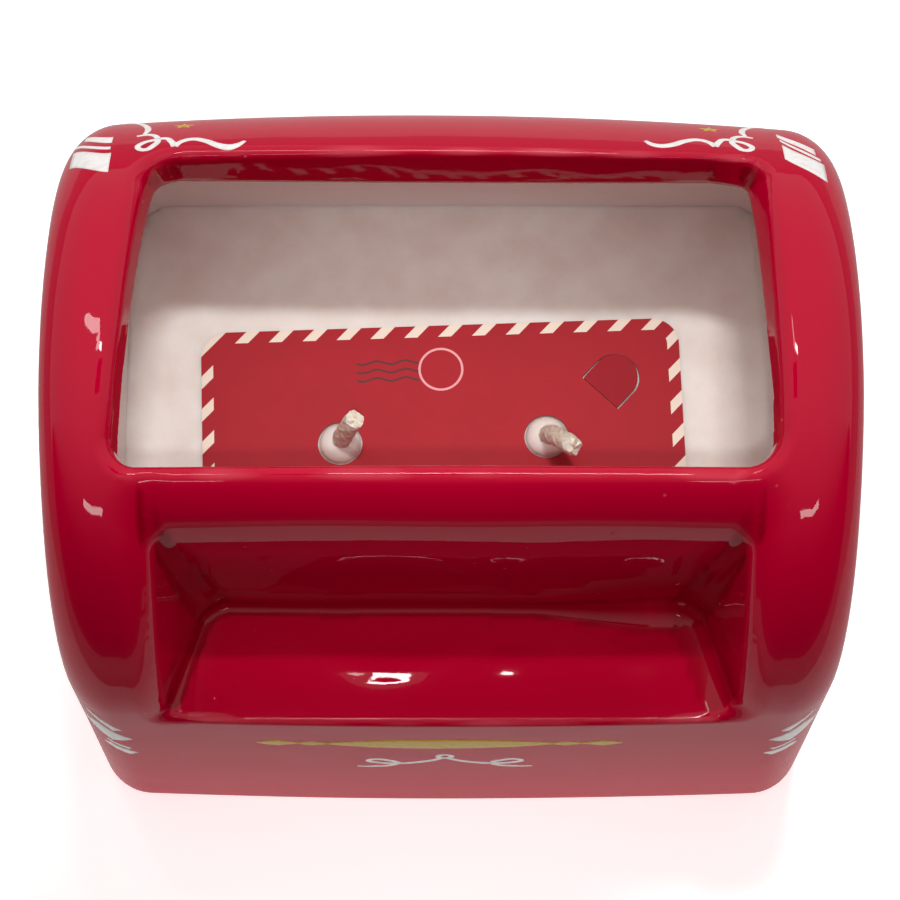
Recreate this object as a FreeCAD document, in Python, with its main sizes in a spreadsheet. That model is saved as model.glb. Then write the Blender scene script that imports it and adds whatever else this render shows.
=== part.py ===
import FreeCAD, Part
import math
import os

import Sketcher

doc = FreeCAD.newDocument("letter_box_candle")
sheet = doc.addObject("Spreadsheet::Sheet", "sizes")

# Driving sizes in millimetres and degrees: alias, value, what it measures.
DRIVING = [
    ("body_width", 110, "ceramic body, left to right"),
    ("body_depth", 88, "ceramic body, front to back"),
    ("spring_height", 58, "height where the walls turn into the arch"),
    ("edge_round", 7, "rounding of the side edges"),
    ("base_round", 2.5, "rounding round the base"),
    ("wall", 7.5, "wall thickness"),
    ("floor_thick", 7, "thickness of the bottom"),
    ("hollow_round", 6, "upright corners of the hollow"),
    ("foot_margin", 9, "width of the foot ring"),
    ("foot_rise", 1.5, "depth of the recess inside the foot ring"),
    ("mouth_width", 87, "crown opening, left to right"),
    ("mouth_front", 18, "front edge of the opening, from the centre"),
    ("mouth_rear", 28.3, "rear edge of the opening, from the centre"),
    ("mouth_corner", 5, "corners of the opening in plan"),
    ("rim_round", 2, "rounding of the opening's upper edge"),
    ("bridge", 6.8, "clay between opening and chute"),
    ("chute_reach", 50, "front limit of the chute cut, from the centre"),
    ("chute_open", 84.5, "chute width at that limit"),
    ("chute_back_width", 71, "chute width at its back wall"),
    ("chute_corner", 3.5, "upright back corners of the chute"),
    ("lip_drop", 1.6, "chute lip below the spring of the arch"),
    ("chute_fall", 3.5, "fall of the chute floor towards the back"),
    ("lip_round", 2, "rounding of the lip and the chute edges"),
    ("wax_level", 49, "height of the wax surface"),
    ("wax_gap", 0.15, "shrinkage gap between wax and wall"),
    ("mound_foot", 6, "width of a wax mound at the wax surface"),
    ("mound_top", 4.2, "width of a wax mound at its top"),
    ("mound_height", 2.4, "height of a wax mound"),
    ("wick_thick", 3, "thickness of a wick"),
    ("wick_spacing", 30.2, "distance between the wicks"),
    ("row_shift", 1.1, "middle of the wick row, left of the centre"),
    ("row_turn", 2, "turn of the wick row and the card"),
    ("bend_radius", 5, "bend of a wick above its mound"),
    ("left_lean", 24, "lean of the left wick"),
    ("right_lean", 54, "lean of the right wick"),
    ("left_free", 5.6, "straight end of the left wick"),
    ("right_free", 4.6, "straight end of the right wick"),
    ("left_heading", 22, "direction the left wick leans to"),
    ("right_heading", 311, "direction the right wick leans to"),
    ("plate_width", 20, "wick sustainer plate"),
    ("plate_thick", 0.4, "sheet of the wick sustainer"),
    ("neck_width", 4.2, "outside of the sustainer neck"),
    ("neck_height", 7, "neck above the plate"),
    ("fit_gap", 0.05, "gap round parts set in the wax"),
    ("sticker_width", 18, "adhesive disc under the sustainer"),
    ("sticker_thick", 1, "thickness of the adhesive disc"),
    ("card_width", 70.5, "card, left to right"),
    ("card_length", 33, "card, front to back"),
    ("card_shift", 1.2, "middle of the card behind the wick row"),
    ("card_thick", 0.5, "thickness of the card"),
    ("card_corner", 4, "corners of the card"),
    ("card_gap", 0.05, "air under the card"),
    ("hole_width", 6.5, "wick hole in the card"),
    ("pull_across", 23.2, "crease of the pull tab, right of the wick row's middle"),
    ("pull_back", 6.4, "crease of the pull tab, behind the wick row"),
    ("pull_heading", 45, "direction from the crease to the free end"),
    ("pull_width", 6.7, "width of the pull tab"),
    ("pull_straight", 3.3, "straight part of the pull tab"),
    ("pull_slit", 0.25, "die-cut slit round the pull tab"),
    ("crease_gap", 0.1, "crease of the pull tab to the card"),
    ("pull_raise", 6, "angle the pull tab stands up at rest"),
]

# Sizes worked out from the driving ones.
DERIVED = [
    ("half_depth", "=body_depth / 2"),
    ("hollow_half", "=body_depth / 2 - wall"),
    ("hollow_width", "=body_width - 2 * wall"),
    ("mouth_half", "=mouth_width / 2"),
    ("mouth_run", "=body_depth / 2 + 10"),
    ("chute_back", "=mouth_front + bridge"),
    ("chute_open_half", "=chute_open / 2"),
    ("chute_back_half", "=chute_back_width / 2"),
    ("lip_height", "=spring_height - lip_drop"),
    ("chute_low", "=spring_height - lip_drop - chute_fall"),
    ("slope_front", "=lip_height + chute_fall * (chute_reach - half_depth) / (half_depth - chute_back)"),
    ("core_height", "=body_depth + spring_height"),
    ("ceiling", "=spring_height - lip_drop - chute_fall - wall"),
    ("foot_half_width", "=body_width / 2 - foot_margin"),
    ("foot_half_depth", "=body_depth / 2 - foot_margin"),
    ("foot_corner", "=edge_round / 2"),
    ("wax_half", "=hollow_half - wax_gap"),
    ("wax_front", "=mouth_front - wax_gap"),
    ("wax_ceiling", "=ceiling - wax_gap"),
    ("wax_width", "=hollow_width - 2 * wax_gap"),
    ("wax_corner", "=hollow_round - wax_gap"),
    ("plate_level", "=floor_thick + sticker_thick"),
    ("neck_top", "=plate_thick + neck_height"),
    ("wick_run", "=wax_level + mound_height - plate_level"),
    ("wick_radius", "=wick_thick / 2"),
    ("left_x", "=-row_shift - wick_spacing / 2 * cos(row_turn * 1deg)"),
    ("left_y", "=-wick_spacing / 2 * sin(row_turn * 1deg)"),
    ("right_x", "=-row_shift + wick_spacing / 2 * cos(row_turn * 1deg)"),
    ("right_y", "=wick_spacing / 2 * sin(row_turn * 1deg)"),
    ("middle_x", "=-row_shift"),
    ("half_spacing", "=wick_spacing / 2"),
    ("card_level", "=wax_level + card_gap"),
    ("card_half_width", "=card_width / 2"),
    ("card_rear", "=card_length / 2 + card_shift"),
    ("card_front", "=card_length / 2 - card_shift"),
    ("hole_radius", "=hole_width / 2"),
    ("pull_half", "=pull_width / 2"),
    ("cut_half", "=pull_width / 2 + pull_slit"),
    ("pull_x", "=-row_shift + pull_across * cos(row_turn * 1deg) - pull_back * sin(row_turn * 1deg)"),
    ("pull_y", "=pull_across * sin(row_turn * 1deg) + pull_back * cos(row_turn * 1deg)"),
    ("pull_level", "=wax_level + card_gap + card_thick"),
    ("pull_turn", "=row_turn + pull_heading"),
]

for row, (alias, value, meaning) in enumerate(DRIVING, start=2):
    sheet.set(f"A{row}", meaning)
    sheet.set(f"B{row}", str(value))
    sheet.setAlias(f"B{row}", alias)
for row, (alias, formula) in enumerate(DERIVED, start=len(DRIVING) + 4):
    sheet.set(f"A{row}", alias.replace("_", " "))
    sheet.set(f"B{row}", formula)
    sheet.setAlias(f"B{row}", alias)
doc.recompute()


def size(term):
    """Number behind a signed alias such as -half_depth."""
    sign = -1.0 if term.startswith("-") else 1.0
    return sign * float(sheet.get(term.lstrip("-")))


def cell(term):
    """Expression for a signed alias."""
    return ("-" if term.startswith("-") else "") + "sizes." + term.lstrip("-")


def new_body(label):
    """Empty body whose label names the sub-part."""
    body = doc.addObject("PartDesign::Body", label)
    body.Label = label
    return body


def place(body, x=None, y=None, z=None, turn=None):
    """Bind a body's position and its turn about the upright axis to the sheet."""
    for letter, term in (("x", x), ("y", y), ("z", z)):
        if term is not None:
            body.setExpression(f"Placement.Base.{letter}", cell(term))
    if turn is not None:
        body.Placement.Rotation = FreeCAD.Rotation(FreeCAD.Vector(0, 0, 1), size(turn))
        body.setExpression("Placement.Rotation.Angle", cell(turn) + " * 1deg")


def attach(feature, body, role, x=None, y=None, z=None):
    """Lay a feature on one of its body's own origin planes, moved by sheet values."""
    plane = [item for item in body.Origin.OriginFeatures if item.Role == role][0]
    feature.AttachmentSupport = [(plane, "")]
    feature.MapMode = "FlatFace"
    for letter, term in (("x", x), ("y", y), ("z", z)):
        if term is not None:
            feature.setExpression(f"AttachmentOffset.Base.{letter}", cell(term))


def new_sketch(body, name, role, x=None, y=None, z=None):
    """Sketch on an origin plane of the body."""
    sketch = body.newObject("Sketcher::SketchObject", name)
    attach(sketch, body, role, x, y, z)
    return sketch


def hold(sketch, kind, places, term):
    """Add a dimension to a sketch and bind it to the sheet."""
    value = size(term)
    number = sketch.addConstraint(Sketcher.Constraint(kind, *places, value))
    name = f"{kind.lower()}_{number}"
    sketch.renameConstraint(number, name)
    sketch.setExpression(f"Constraints.{name}", cell(term))


def hold_point(sketch, item, end, across, up):
    """Fix a point of a sketch item at sheet values from the sketch origin."""
    for kind, term in (("DistanceX", across), ("DistanceY", up)):
        if term is None:
            axis = -2 if kind == "DistanceX" else -1
            sketch.addConstraint(Sketcher.Constraint("PointOnObject", item, end, axis))
        else:
            hold(sketch, kind, (-1, 1, item, end), term)


def polygon(sketch, corners):
    """Closed outline of straight lines through corners given as sheet terms."""
    points = []
    for across, up in corners:
        across_value = size(across) if across else 0.0
        up_value = size(up) if up else 0.0
        points.append(FreeCAD.Vector(across_value, up_value, 0))
    count = len(points)
    for number in range(count):
        sketch.addGeometry(Part.LineSegment(points[number], points[(number + 1) % count]))
    for number in range(count):
        sketch.addConstraint(Sketcher.Constraint("Coincident", number, 2, (number + 1) % count, 1))
    for number, (across, up) in enumerate(corners):
        hold_point(sketch, number, 1, across, up)


def round_rectangle(sketch, left, right, low, high, corner):
    """Rectangle with four equal rounded corners, sides at sheet values."""
    x0, x1, y0, y1, r = (size(term) for term in (left, right, low, high, corner))
    ends = [((x0 + r, y0), (x1 - r, y0)), ((x1, y0 + r), (x1, y1 - r)),
            ((x1 - r, y1), (x0 + r, y1)), ((x0, y1 - r), (x0, y0 + r))]
    middles = [(x1 - r, y0 + r), (x1 - r, y1 - r), (x0 + r, y1 - r), (x0 + r, y0 + r)]
    for start, end in ends:
        sketch.addGeometry(Part.LineSegment(FreeCAD.Vector(*start, 0), FreeCAD.Vector(*end, 0)))
    for number, (x, y) in enumerate(middles):
        circle = Part.Circle(FreeCAD.Vector(x, y, 0), FreeCAD.Vector(0, 0, 1), r)
        begin = -math.pi / 2 + number * math.pi / 2
        sketch.addGeometry(Part.ArcOfCircle(circle, begin, begin + math.pi / 2))
    for number in range(4):
        arc = 4 + number
        sketch.addConstraint(Sketcher.Constraint("Tangent", number, 2, arc, 1))
        sketch.addConstraint(Sketcher.Constraint("Tangent", arc, 2, (number + 1) % 4, 1))
    for number in (0, 2):
        sketch.addConstraint(Sketcher.Constraint("Horizontal", number))
    for number in (1, 3):
        sketch.addConstraint(Sketcher.Constraint("Vertical", number))
    for arc in (5, 6, 7):
        sketch.addConstraint(Sketcher.Constraint("Equal", 4, arc))
    hold(sketch, "Radius", (4,), corner)
    hold(sketch, "DistanceX", (-1, 1, 3, 1), left)
    hold(sketch, "DistanceX", (-1, 1, 1, 1), right)
    hold(sketch, "DistanceY", (-1, 1, 0, 1), low)
    hold(sketch, "DistanceY", (-1, 1, 2, 1), high)


def arch(sketch, half, spring, low):
    """Upright walls closed by a half circle above and a level line below."""
    r, top, base = size(half), size(spring), size(low) if low else 0.0
    sketch.addGeometry(Part.LineSegment(FreeCAD.Vector(-r, base, 0), FreeCAD.Vector(r, base, 0)))
    sketch.addGeometry(Part.LineSegment(FreeCAD.Vector(r, base, 0), FreeCAD.Vector(r, top, 0)))
    circle = Part.Circle(FreeCAD.Vector(0, top, 0), FreeCAD.Vector(0, 0, 1), r)
    sketch.addGeometry(Part.ArcOfCircle(circle, 0, math.pi))
    sketch.addGeometry(Part.LineSegment(FreeCAD.Vector(-r, top, 0), FreeCAD.Vector(-r, base, 0)))
    sketch.addConstraint(Sketcher.Constraint("Coincident", 0, 2, 1, 1))
    sketch.addConstraint(Sketcher.Constraint("Coincident", 3, 2, 0, 1))
    sketch.addConstraint(Sketcher.Constraint("Tangent", 1, 2, 2, 1))
    sketch.addConstraint(Sketcher.Constraint("Tangent", 2, 2, 3, 1))
    sketch.addConstraint(Sketcher.Constraint("Horizontal", 0))
    sketch.addConstraint(Sketcher.Constraint("Vertical", 1))
    sketch.addConstraint(Sketcher.Constraint("Vertical", 3))
    hold_point(sketch, 2, 3, None, spring)
    hold(sketch, "Radius", (2,), half)
    if low:
        hold(sketch, "DistanceY", (-1, 1, 0, 1), low)
    else:
        sketch.addConstraint(Sketcher.Constraint("PointOnObject", 0, 1, -1))


def pad(body, sketch, length, both_ways=False, name="pad"):
    """Raise a sketch by a sheet value."""
    feature = body.newObject("PartDesign::Pad", name)
    feature.Profile = sketch
    feature.setExpression("Length", cell(length))
    feature.Midplane = both_ways
    doc.recompute()
    return feature


def pocket(body, sketch, length, both_ways=False, backwards=False, name="pocket"):
    """Sink a sketch by a sheet value."""
    feature = body.newObject("PartDesign::Pocket", name)
    feature.Profile = sketch
    feature.setExpression("Length", cell(length))
    feature.Midplane = both_ways
    feature.Reversed = backwards
    doc.recompute()
    return feature


def edges_where(shape, test):
    """Names of the edges whose sampled points all pass a test."""
    names = []
    for number, edge in enumerate(shape.Edges, start=1):
        points = edge.discretize(7)
        if all(test(point) for point in points):
            names.append(f"Edge{number}")
    return names


def round_edges(body, test, radius, name):
    """Round the edges of a body's present shape that pass a test."""
    base = body.Tip
    feature = body.newObject("PartDesign::Fillet", name)
    feature.Base = (base, edges_where(base.Shape, test))
    feature.setExpression("Radius", cell(radius))
    doc.recompute()
    return feature


def near(value, term, slack=0.01):
    """Whether a coordinate lies at a sheet value."""
    return abs(value - size(term)) < slack


# Ceramic body: arched block, hollowed, opened in the crown, with a blind chute in front.
chute = new_body("chute_core")
plan = new_sketch(chute, "chute_plan", "XY_Plane")
polygon(plan, [("-chute_open_half", "-chute_reach"), ("chute_open_half", "-chute_reach"),
               ("chute_back_half", "-chute_back"), ("-chute_back_half", "-chute_back")])
pad(chute, plan, "core_height", name="chute_block")
slope = new_sketch(chute, "chute_slope", "YZ_Plane")
polygon(slope, [("-chute_reach", None), ("-chute_back", None),
                ("-chute_back", "chute_low"), ("-chute_reach", "slope_front")])
pocket(chute, slope, "body_width", both_ways=True, name="chute_floor")
round_edges(chute, lambda p: near(p.y, "-chute_back") and abs(abs(p.x) - size("chute_back_half")) < 0.01,
            "chute_corner", "chute_back_corners")
round_edges(chute, lambda p: p.z < size("slope_front") + 0.01 and p.y > -size("chute_reach") + 0.01
            or p.z < size("slope_front") + 0.01 and abs(p.x) > size("chute_back_half") - 0.01,
            "lip_round", "chute_floor_edges")

ceramic = new_body("ceramic_body")
outline = new_sketch(ceramic, "side_outline", "YZ_Plane")
arch(outline, "half_depth", "spring_height", None)
pad(ceramic, outline, "body_width", both_ways=True, name="arched_block")
half_width = size("body_width") / 2
round_edges(ceramic, lambda p: abs(abs(p.x) - half_width) < 0.01 and p.z > -0.01
            and not abs(p.z) < 0.001 or abs(abs(p.x) - half_width) < 0.01 and p.z > 0.001,
            "edge_round", "side_edges")
round_edges(ceramic, lambda p: abs(p.z) < 0.001, "base_round", "base_edges")
mouth = new_sketch(ceramic, "mouth_plan", "XY_Plane", z="spring_height")
round_rectangle(mouth, "-mouth_half", "mouth_half", "-mouth_front", "mouth_rear", "mouth_corner")
pocket(ceramic, mouth, "mouth_run", backwards=True, name="mouth")
hollow = new_sketch(ceramic, "hollow_side", "YZ_Plane")
inner = size("hollow_half")
front = -size("mouth_front")
spring = size("spring_height")
low = size("floor_thick")
roof = size("ceiling")
rise = spring + math.sqrt(inner ** 2 - front ** 2)
corners = [(inner, low), (-inner, low), (-inner, roof), (front, roof), (front, rise)]
for start, end in zip(corners[:-1], corners[1:]):
    hollow.addGeometry(Part.LineSegment(FreeCAD.Vector(*start, 0), FreeCAD.Vector(*end, 0)))
vault = Part.Circle(FreeCAD.Vector(0, spring, 0), FreeCAD.Vector(0, 0, 1), inner)
hollow.addGeometry(Part.ArcOfCircle(vault, 0, math.atan2(rise - spring, front)))
hollow.addGeometry(Part.LineSegment(FreeCAD.Vector(inner, spring, 0), FreeCAD.Vector(inner, low, 0)))
for first, second in ((0, 1), (1, 2), (2, 3)):
    hollow.addConstraint(Sketcher.Constraint("Coincident", first, 2, second, 1))
hollow.addConstraint(Sketcher.Constraint("Coincident", 3, 2, 4, 2))
hollow.addConstraint(Sketcher.Constraint("Tangent", 4, 1, 5, 1))
hollow.addConstraint(Sketcher.Constraint("Coincident", 5, 2, 0, 1))
for item in (0, 2):
    hollow.addConstraint(Sketcher.Constraint("Horizontal", item))
for item in (1, 3, 5):
    hollow.addConstraint(Sketcher.Constraint("Vertical", item))
hold_point(hollow, 4, 3, None, "spring_height")
hold(hollow, "Radius", (4,), "hollow_half")
hold(hollow, "DistanceX", (-1, 1, 1, 1), "-hollow_half")
hold(hollow, "DistanceY", (-1, 1, 0, 1), "floor_thick")
hold(hollow, "DistanceY", (-1, 1, 2, 1), "ceiling")
hold(hollow, "DistanceX", (-1, 1, 3, 1), "-mouth_front")
pocket(ceramic, hollow, "hollow_width", both_ways=True, name="hollow")
half_hollow = size("hollow_width") / 2
round_edges(ceramic, lambda p: abs(abs(p.x) - half_hollow) < 0.01 and abs(abs(p.y) - inner) < 0.01
            and low - 0.01 < p.z < spring + 0.01, "hollow_round", "hollow_corners")
cut = ceramic.newObject("PartDesign::Boolean", "chute_cut")
cut.Type = "Cut"
cut.setObjects([chute])
doc.recompute()
foot = new_sketch(ceramic, "foot_plan", "XY_Plane")
round_rectangle(foot, "-foot_half_width", "foot_half_width", "-foot_half_depth", "foot_half_depth",
                "foot_corner")
pocket(ceramic, foot, "foot_rise", backwards=True, name="foot_recess")


def on_shell(p):
    """Whether a point lies on the arched outside of the body."""
    if p.z < size("spring_height"):
        return abs(abs(p.y) - size("half_depth")) < 0.02
    return abs(math.hypot(p.y, p.z - size("spring_height")) - size("half_depth")) < 0.02


round_edges(ceramic, lambda p: on_shell(p) and abs(p.x) < size("mouth_half") + 0.02
            and -size("mouth_front") - 0.02 < p.y < size("mouth_rear") + 0.02, "rim_round", "rim")
round_edges(ceramic, lambda p: on_shell(p) and abs(p.x) < size("chute_open_half")
            and p.y < -size("chute_back") + 0.02 and p.z > size("chute_low"), "lip_round", "chute_edges")

# Wax: poured round the wicks, under the chute and up to its level in the opening.
wax = new_body("wax_fill")
side = new_sketch(wax, "wax_side", "YZ_Plane")
polygon(side, [("-wax_half", "floor_thick"), ("wax_half", "floor_thick"), ("wax_half", "wax_level"),
               ("-wax_front", "wax_level"), ("-wax_front", "wax_ceiling"), ("-wax_half", "wax_ceiling")])
pad(wax, side, "wax_width", both_ways=True, name="wax_block")
half_wax = size("wax_width") / 2
round_edges(wax, lambda p: abs(abs(p.x) - half_wax) < 0.01 and abs(abs(p.y) - size("wax_half")) < 0.01,
            "wax_corner", "wax_corners")


def disc(body, kind, name, term, height, x=None, y=None, z=None, gap=False):
    """Upright cylinder of a sheet width, added to or taken from a body."""
    feature = body.newObject(f"PartDesign::{kind}Cylinder", name)
    attach(feature, body, "XY_Plane", x, y, z)
    spare = " / 2 + sizes.fit_gap" if gap else " / 2"
    feature.setExpression("Radius", cell(term) + spare)
    feature.setExpression("Height", cell(height) + (" + sizes.fit_gap" if gap else ""))
    doc.recompute()
    return feature


for hand in ("left", "right"):
    across = f"{hand}_x"
    back = f"{hand}_y"
    mound = wax.newObject("PartDesign::AdditiveCone", f"mound_{hand}")
    attach(mound, wax, "XY_Plane", across, back, "wax_level")
    mound.setExpression("Radius1", "sizes.mound_foot / 2")
    mound.setExpression("Radius2", "sizes.mound_top / 2")
    mound.setExpression("Height", "sizes.mound_height")
    doc.recompute()
    disc(wax, "Subtractive", f"sticker_bed_{hand}", "sticker_width", "sticker_thick",
         across, back, "floor_thick", gap=True)
    disc(wax, "Subtractive", f"plate_bed_{hand}", "plate_width", "plate_thick",
         across, back, "plate_level", gap=True)
    disc(wax, "Subtractive", f"neck_bed_{hand}", "neck_width", "neck_top",
         across, back, "plate_level", gap=True)
    disc(wax, "Subtractive", f"wick_bed_{hand}", "wick_thick", "wick_run",
         across, back, "plate_level", gap=True)

# Each wick runs straight up through the wax, bends above its mound and ends in a straight free end.
for hand in ("left", "right"):
    wick = new_body(f"wick_{hand}")
    section = new_sketch(wick, "wick_section", "XY_Plane")
    section.addGeometry(Part.Circle(FreeCAD.Vector(0, 0, 0), FreeCAD.Vector(0, 0, 1), size("wick_radius")))
    section.addConstraint(Sketcher.Constraint("Coincident", 0, 3, -1, 1))
    hold(section, "Radius", (0,), "wick_radius")
    path = new_sketch(wick, "wick_path", "XZ_Plane")
    run = size("wick_run")
    bend = size("bend_radius")
    lean = math.radians(size(f"{hand}_lean"))
    free = size(f"{hand}_free")
    turn = FreeCAD.Vector(bend - bend * math.cos(lean), run + bend * math.sin(lean), 0)
    tip = turn + FreeCAD.Vector(math.sin(lean), math.cos(lean), 0) * free
    path.addGeometry(Part.LineSegment(FreeCAD.Vector(0, 0, 0), FreeCAD.Vector(0, run, 0)))
    circle = Part.Circle(FreeCAD.Vector(bend, run, 0), FreeCAD.Vector(0, 0, 1), bend)
    path.addGeometry(Part.ArcOfCircle(circle, math.pi - lean, math.pi))
    path.addGeometry(Part.LineSegment(turn, tip))
    path.addConstraint(Sketcher.Constraint("Coincident", 0, 1, -1, 1))
    path.addConstraint(Sketcher.Constraint("Vertical", 0))
    path.addConstraint(Sketcher.Constraint("Tangent", 0, 2, 1, 2))
    path.addConstraint(Sketcher.Constraint("Tangent", 1, 1, 2, 1))
    hold(path, "DistanceY", (0, 1, 0, 2), "wick_run")
    hold(path, "Radius", (1,), "bend_radius")
    hold(path, "Distance", (2,), f"{hand}_free")
    number = path.addConstraint(Sketcher.Constraint("Angle", 2, 1, 0, 1, lean))
    path.renameConstraint(number, "lean")
    path.setExpression("Constraints.lean", f"sizes.{hand}_lean * 1deg")
    strand = wick.newObject("PartDesign::AdditivePipe", "strand")
    strand.Profile = section
    strand.Spine = (path, ["Edge1", "Edge2", "Edge3"])
    doc.recompute()
    place(wick, f"{hand}_x", f"{hand}_y", "plate_level", f"{hand}_heading")

    tab = new_body(f"wick_tab_{hand}")
    disc(tab, "Additive", "plate", "plate_width", "plate_thick")
    disc(tab, "Additive", "neck", "neck_width", "neck_top")
    disc(tab, "Subtractive", "bore", "wick_thick", "neck_top", gap=True)
    place(tab, f"{hand}_x", f"{hand}_y", "plate_level")

    sticker = new_body(f"wick_sticker_{hand}")
    disc(sticker, "Additive", "foam", "sticker_width", "sticker_thick")
    place(sticker, f"{hand}_x", f"{hand}_y", "floor_thick")


def tongue(sketch, half, straight, start=None):
    """Straight-sided outline with a half-round free end towards positive x."""
    r = size(half)
    length = size(straight)
    foot = size(start) if start else 0.0
    sketch.addGeometry(Part.LineSegment(FreeCAD.Vector(foot, r, 0), FreeCAD.Vector(foot, -r, 0)))
    sketch.addGeometry(Part.LineSegment(FreeCAD.Vector(foot, -r, 0), FreeCAD.Vector(length, -r, 0)))
    circle = Part.Circle(FreeCAD.Vector(length, 0, 0), FreeCAD.Vector(0, 0, 1), r)
    sketch.addGeometry(Part.ArcOfCircle(circle, -math.pi / 2, math.pi / 2))
    sketch.addGeometry(Part.LineSegment(FreeCAD.Vector(length, r, 0), FreeCAD.Vector(foot, r, 0)))
    sketch.addConstraint(Sketcher.Constraint("Coincident", 0, 2, 1, 1))
    sketch.addConstraint(Sketcher.Constraint("Tangent", 1, 2, 2, 1))
    sketch.addConstraint(Sketcher.Constraint("Tangent", 2, 2, 3, 1))
    sketch.addConstraint(Sketcher.Constraint("Coincident", 3, 2, 0, 1))
    sketch.addConstraint(Sketcher.Constraint("Vertical", 0))
    sketch.addConstraint(Sketcher.Constraint("Horizontal", 1))
    sketch.addConstraint(Sketcher.Constraint("Horizontal", 3))
    if start:
        hold(sketch, "DistanceX", (-1, 1, 0, 1), start)
    else:
        sketch.addConstraint(Sketcher.Constraint("PointOnObject", 0, 1, -2))
    hold_point(sketch, 2, 3, straight, None)
    hold(sketch, "Radius", (2,), half)


# Card: loose on the wax, with a hole round each mound and the cut-out of the pull tab.
card = new_body("dust_cover")
sheet_plan = new_sketch(card, "card_plan", "XY_Plane")
round_rectangle(sheet_plan, "-card_half_width", "card_half_width", "-card_front", "card_rear",
                "card_corner")
pad(card, sheet_plan, "card_thick", name="card_sheet")
for hand, across in (("left", "-half_spacing"), ("right", "half_spacing")):
    disc(card, "Subtractive", f"hole_{hand}", "hole_width", "card_thick", x=across)
cut_plan = new_sketch(card, "pull_cut_plan", "XY_Plane", x="pull_across", y="pull_back")
cut_plan.AttachmentOffset = FreeCAD.Placement(
    cut_plan.AttachmentOffset.Base,
    FreeCAD.Rotation(FreeCAD.Vector(0, 0, 1), size("pull_heading")))
cut_plan.setExpression("AttachmentOffset.Rotation.Angle", cell("pull_heading") + " * 1deg")
tongue(cut_plan, "cut_half", "pull_straight")
pocket(card, cut_plan, "card_thick", backwards=True, name="pull_cut")
place(card, "middle_x", None, "card_level", "row_turn")

# Pull tab: hangs on its crease along the card's upper face, standing up a little.
pull = new_body("lift_tab")
pull_plan = new_sketch(pull, "pull_plan", "XY_Plane", z="-card_thick")
tongue(pull_plan, "pull_half", "pull_straight", "crease_gap")
pad(pull, pull_plan, "card_thick", name="pull_sheet")
pull.setExpression(
    "Placement",
    "create(<<placement>>; create(<<vector>>; sizes.pull_x; sizes.pull_y; sizes.pull_level); "
    "create(<<rotation>>; sizes.pull_turn; -sizes.pull_raise; 0))")
doc.recompute()

NODES = [
    "ceramic_body", "wax_fill", "wick_left", "wick_right", "wick_tab_left", "wick_tab_right",
    "wick_sticker_left", "wick_sticker_right", "dust_cover", "lift_tab",
]

faults = [item.Label for item in doc.Objects if "Invalid" in item.State or "Error" in item.State]
if faults:
    raise RuntimeError(f"features that did not build: {faults}")
os.makedirs("parts", exist_ok=True)
for node in NODES:
    item = doc.getObjectsByLabel(node)[0]
    if item.Shape.isNull() or not item.Shape.isValid():
        raise RuntimeError(f"{node} has no valid shape")
    item.Shape.exportStep(f"parts/{node}.step")
    box = item.Shape.optimalBoundingBox()
    print(node, len(item.Shape.Solids), round(item.Shape.Volume, 1),
          [round(value, 2) for value in (box.XMin, box.XMax, box.YMin, box.YMax, box.ZMin, box.ZMax)])
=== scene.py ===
"""Two-wick scented candle in a glazed letter-box vessel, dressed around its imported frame."""

import logging
import math
from dataclasses import dataclass, field
from enum import Enum
from functools import partial
from itertools import combinations, product
from typing import Any, Callable, Sequence

import bpy
import numpy as np
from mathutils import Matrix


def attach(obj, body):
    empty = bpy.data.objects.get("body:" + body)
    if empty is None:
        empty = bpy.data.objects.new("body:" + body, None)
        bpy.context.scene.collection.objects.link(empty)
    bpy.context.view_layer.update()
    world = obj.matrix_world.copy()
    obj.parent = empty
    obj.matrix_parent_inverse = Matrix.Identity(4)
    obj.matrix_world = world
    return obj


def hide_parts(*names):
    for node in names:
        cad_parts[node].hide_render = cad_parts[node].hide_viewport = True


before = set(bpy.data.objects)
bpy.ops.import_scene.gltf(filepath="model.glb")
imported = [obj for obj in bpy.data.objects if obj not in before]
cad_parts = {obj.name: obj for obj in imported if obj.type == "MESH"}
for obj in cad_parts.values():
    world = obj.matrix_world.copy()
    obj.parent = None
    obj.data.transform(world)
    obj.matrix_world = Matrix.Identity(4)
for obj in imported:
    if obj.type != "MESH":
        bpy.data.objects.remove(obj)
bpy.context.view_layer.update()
LOG = logging.getLogger("letter_box_candle")
MM = 0.001
WICK_PLACES = ((-16.19, -0.53), (13.99, 0.53))
# Numbers of the sockets for the two colours of a mix and for its result.
COLOUR_A, COLOUR_B, MIXED = 6, 7, 2
Field = Callable[[np.ndarray], np.ndarray]


class Body(str, Enum):
    """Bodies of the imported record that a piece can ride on."""

    VESSEL = "vessel"
    CARD = "card"
    PULL = "pull"


def linear(colour: str) -> tuple[float, float, float, float]:
    """Turn an sRGB hex colour into linear light.

    Args:
        colour: Six hex digits after a hash sign.

    Returns:
        Linear red, green, blue and an alpha of one.
    """
    parts = [int(colour[i:i + 2], 16) / 255 for i in (1, 3, 5)]
    return (*[c / 12.92 if c <= 0.04045 else ((c + 0.055) / 1.055) ** 2.4 for c in parts], 1.0)


def feed(tree: bpy.types.NodeTree, node: bpy.types.Node, links: dict[Any, Any]) -> None:
    """Set or link some inputs of a node.

    Args:
        tree: Tree that holds the node.
        node: The node.
        links: Input name or number to a value, to an output socket, or to a node whose first output feeds it.
    """
    for key, value in links.items():
        source = value.outputs[0] if isinstance(value, bpy.types.Node) else value
        if isinstance(source, bpy.types.NodeSocket):
            tree.links.new(source, node.inputs[key])
        else:
            node.inputs[key].default_value = source


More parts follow.
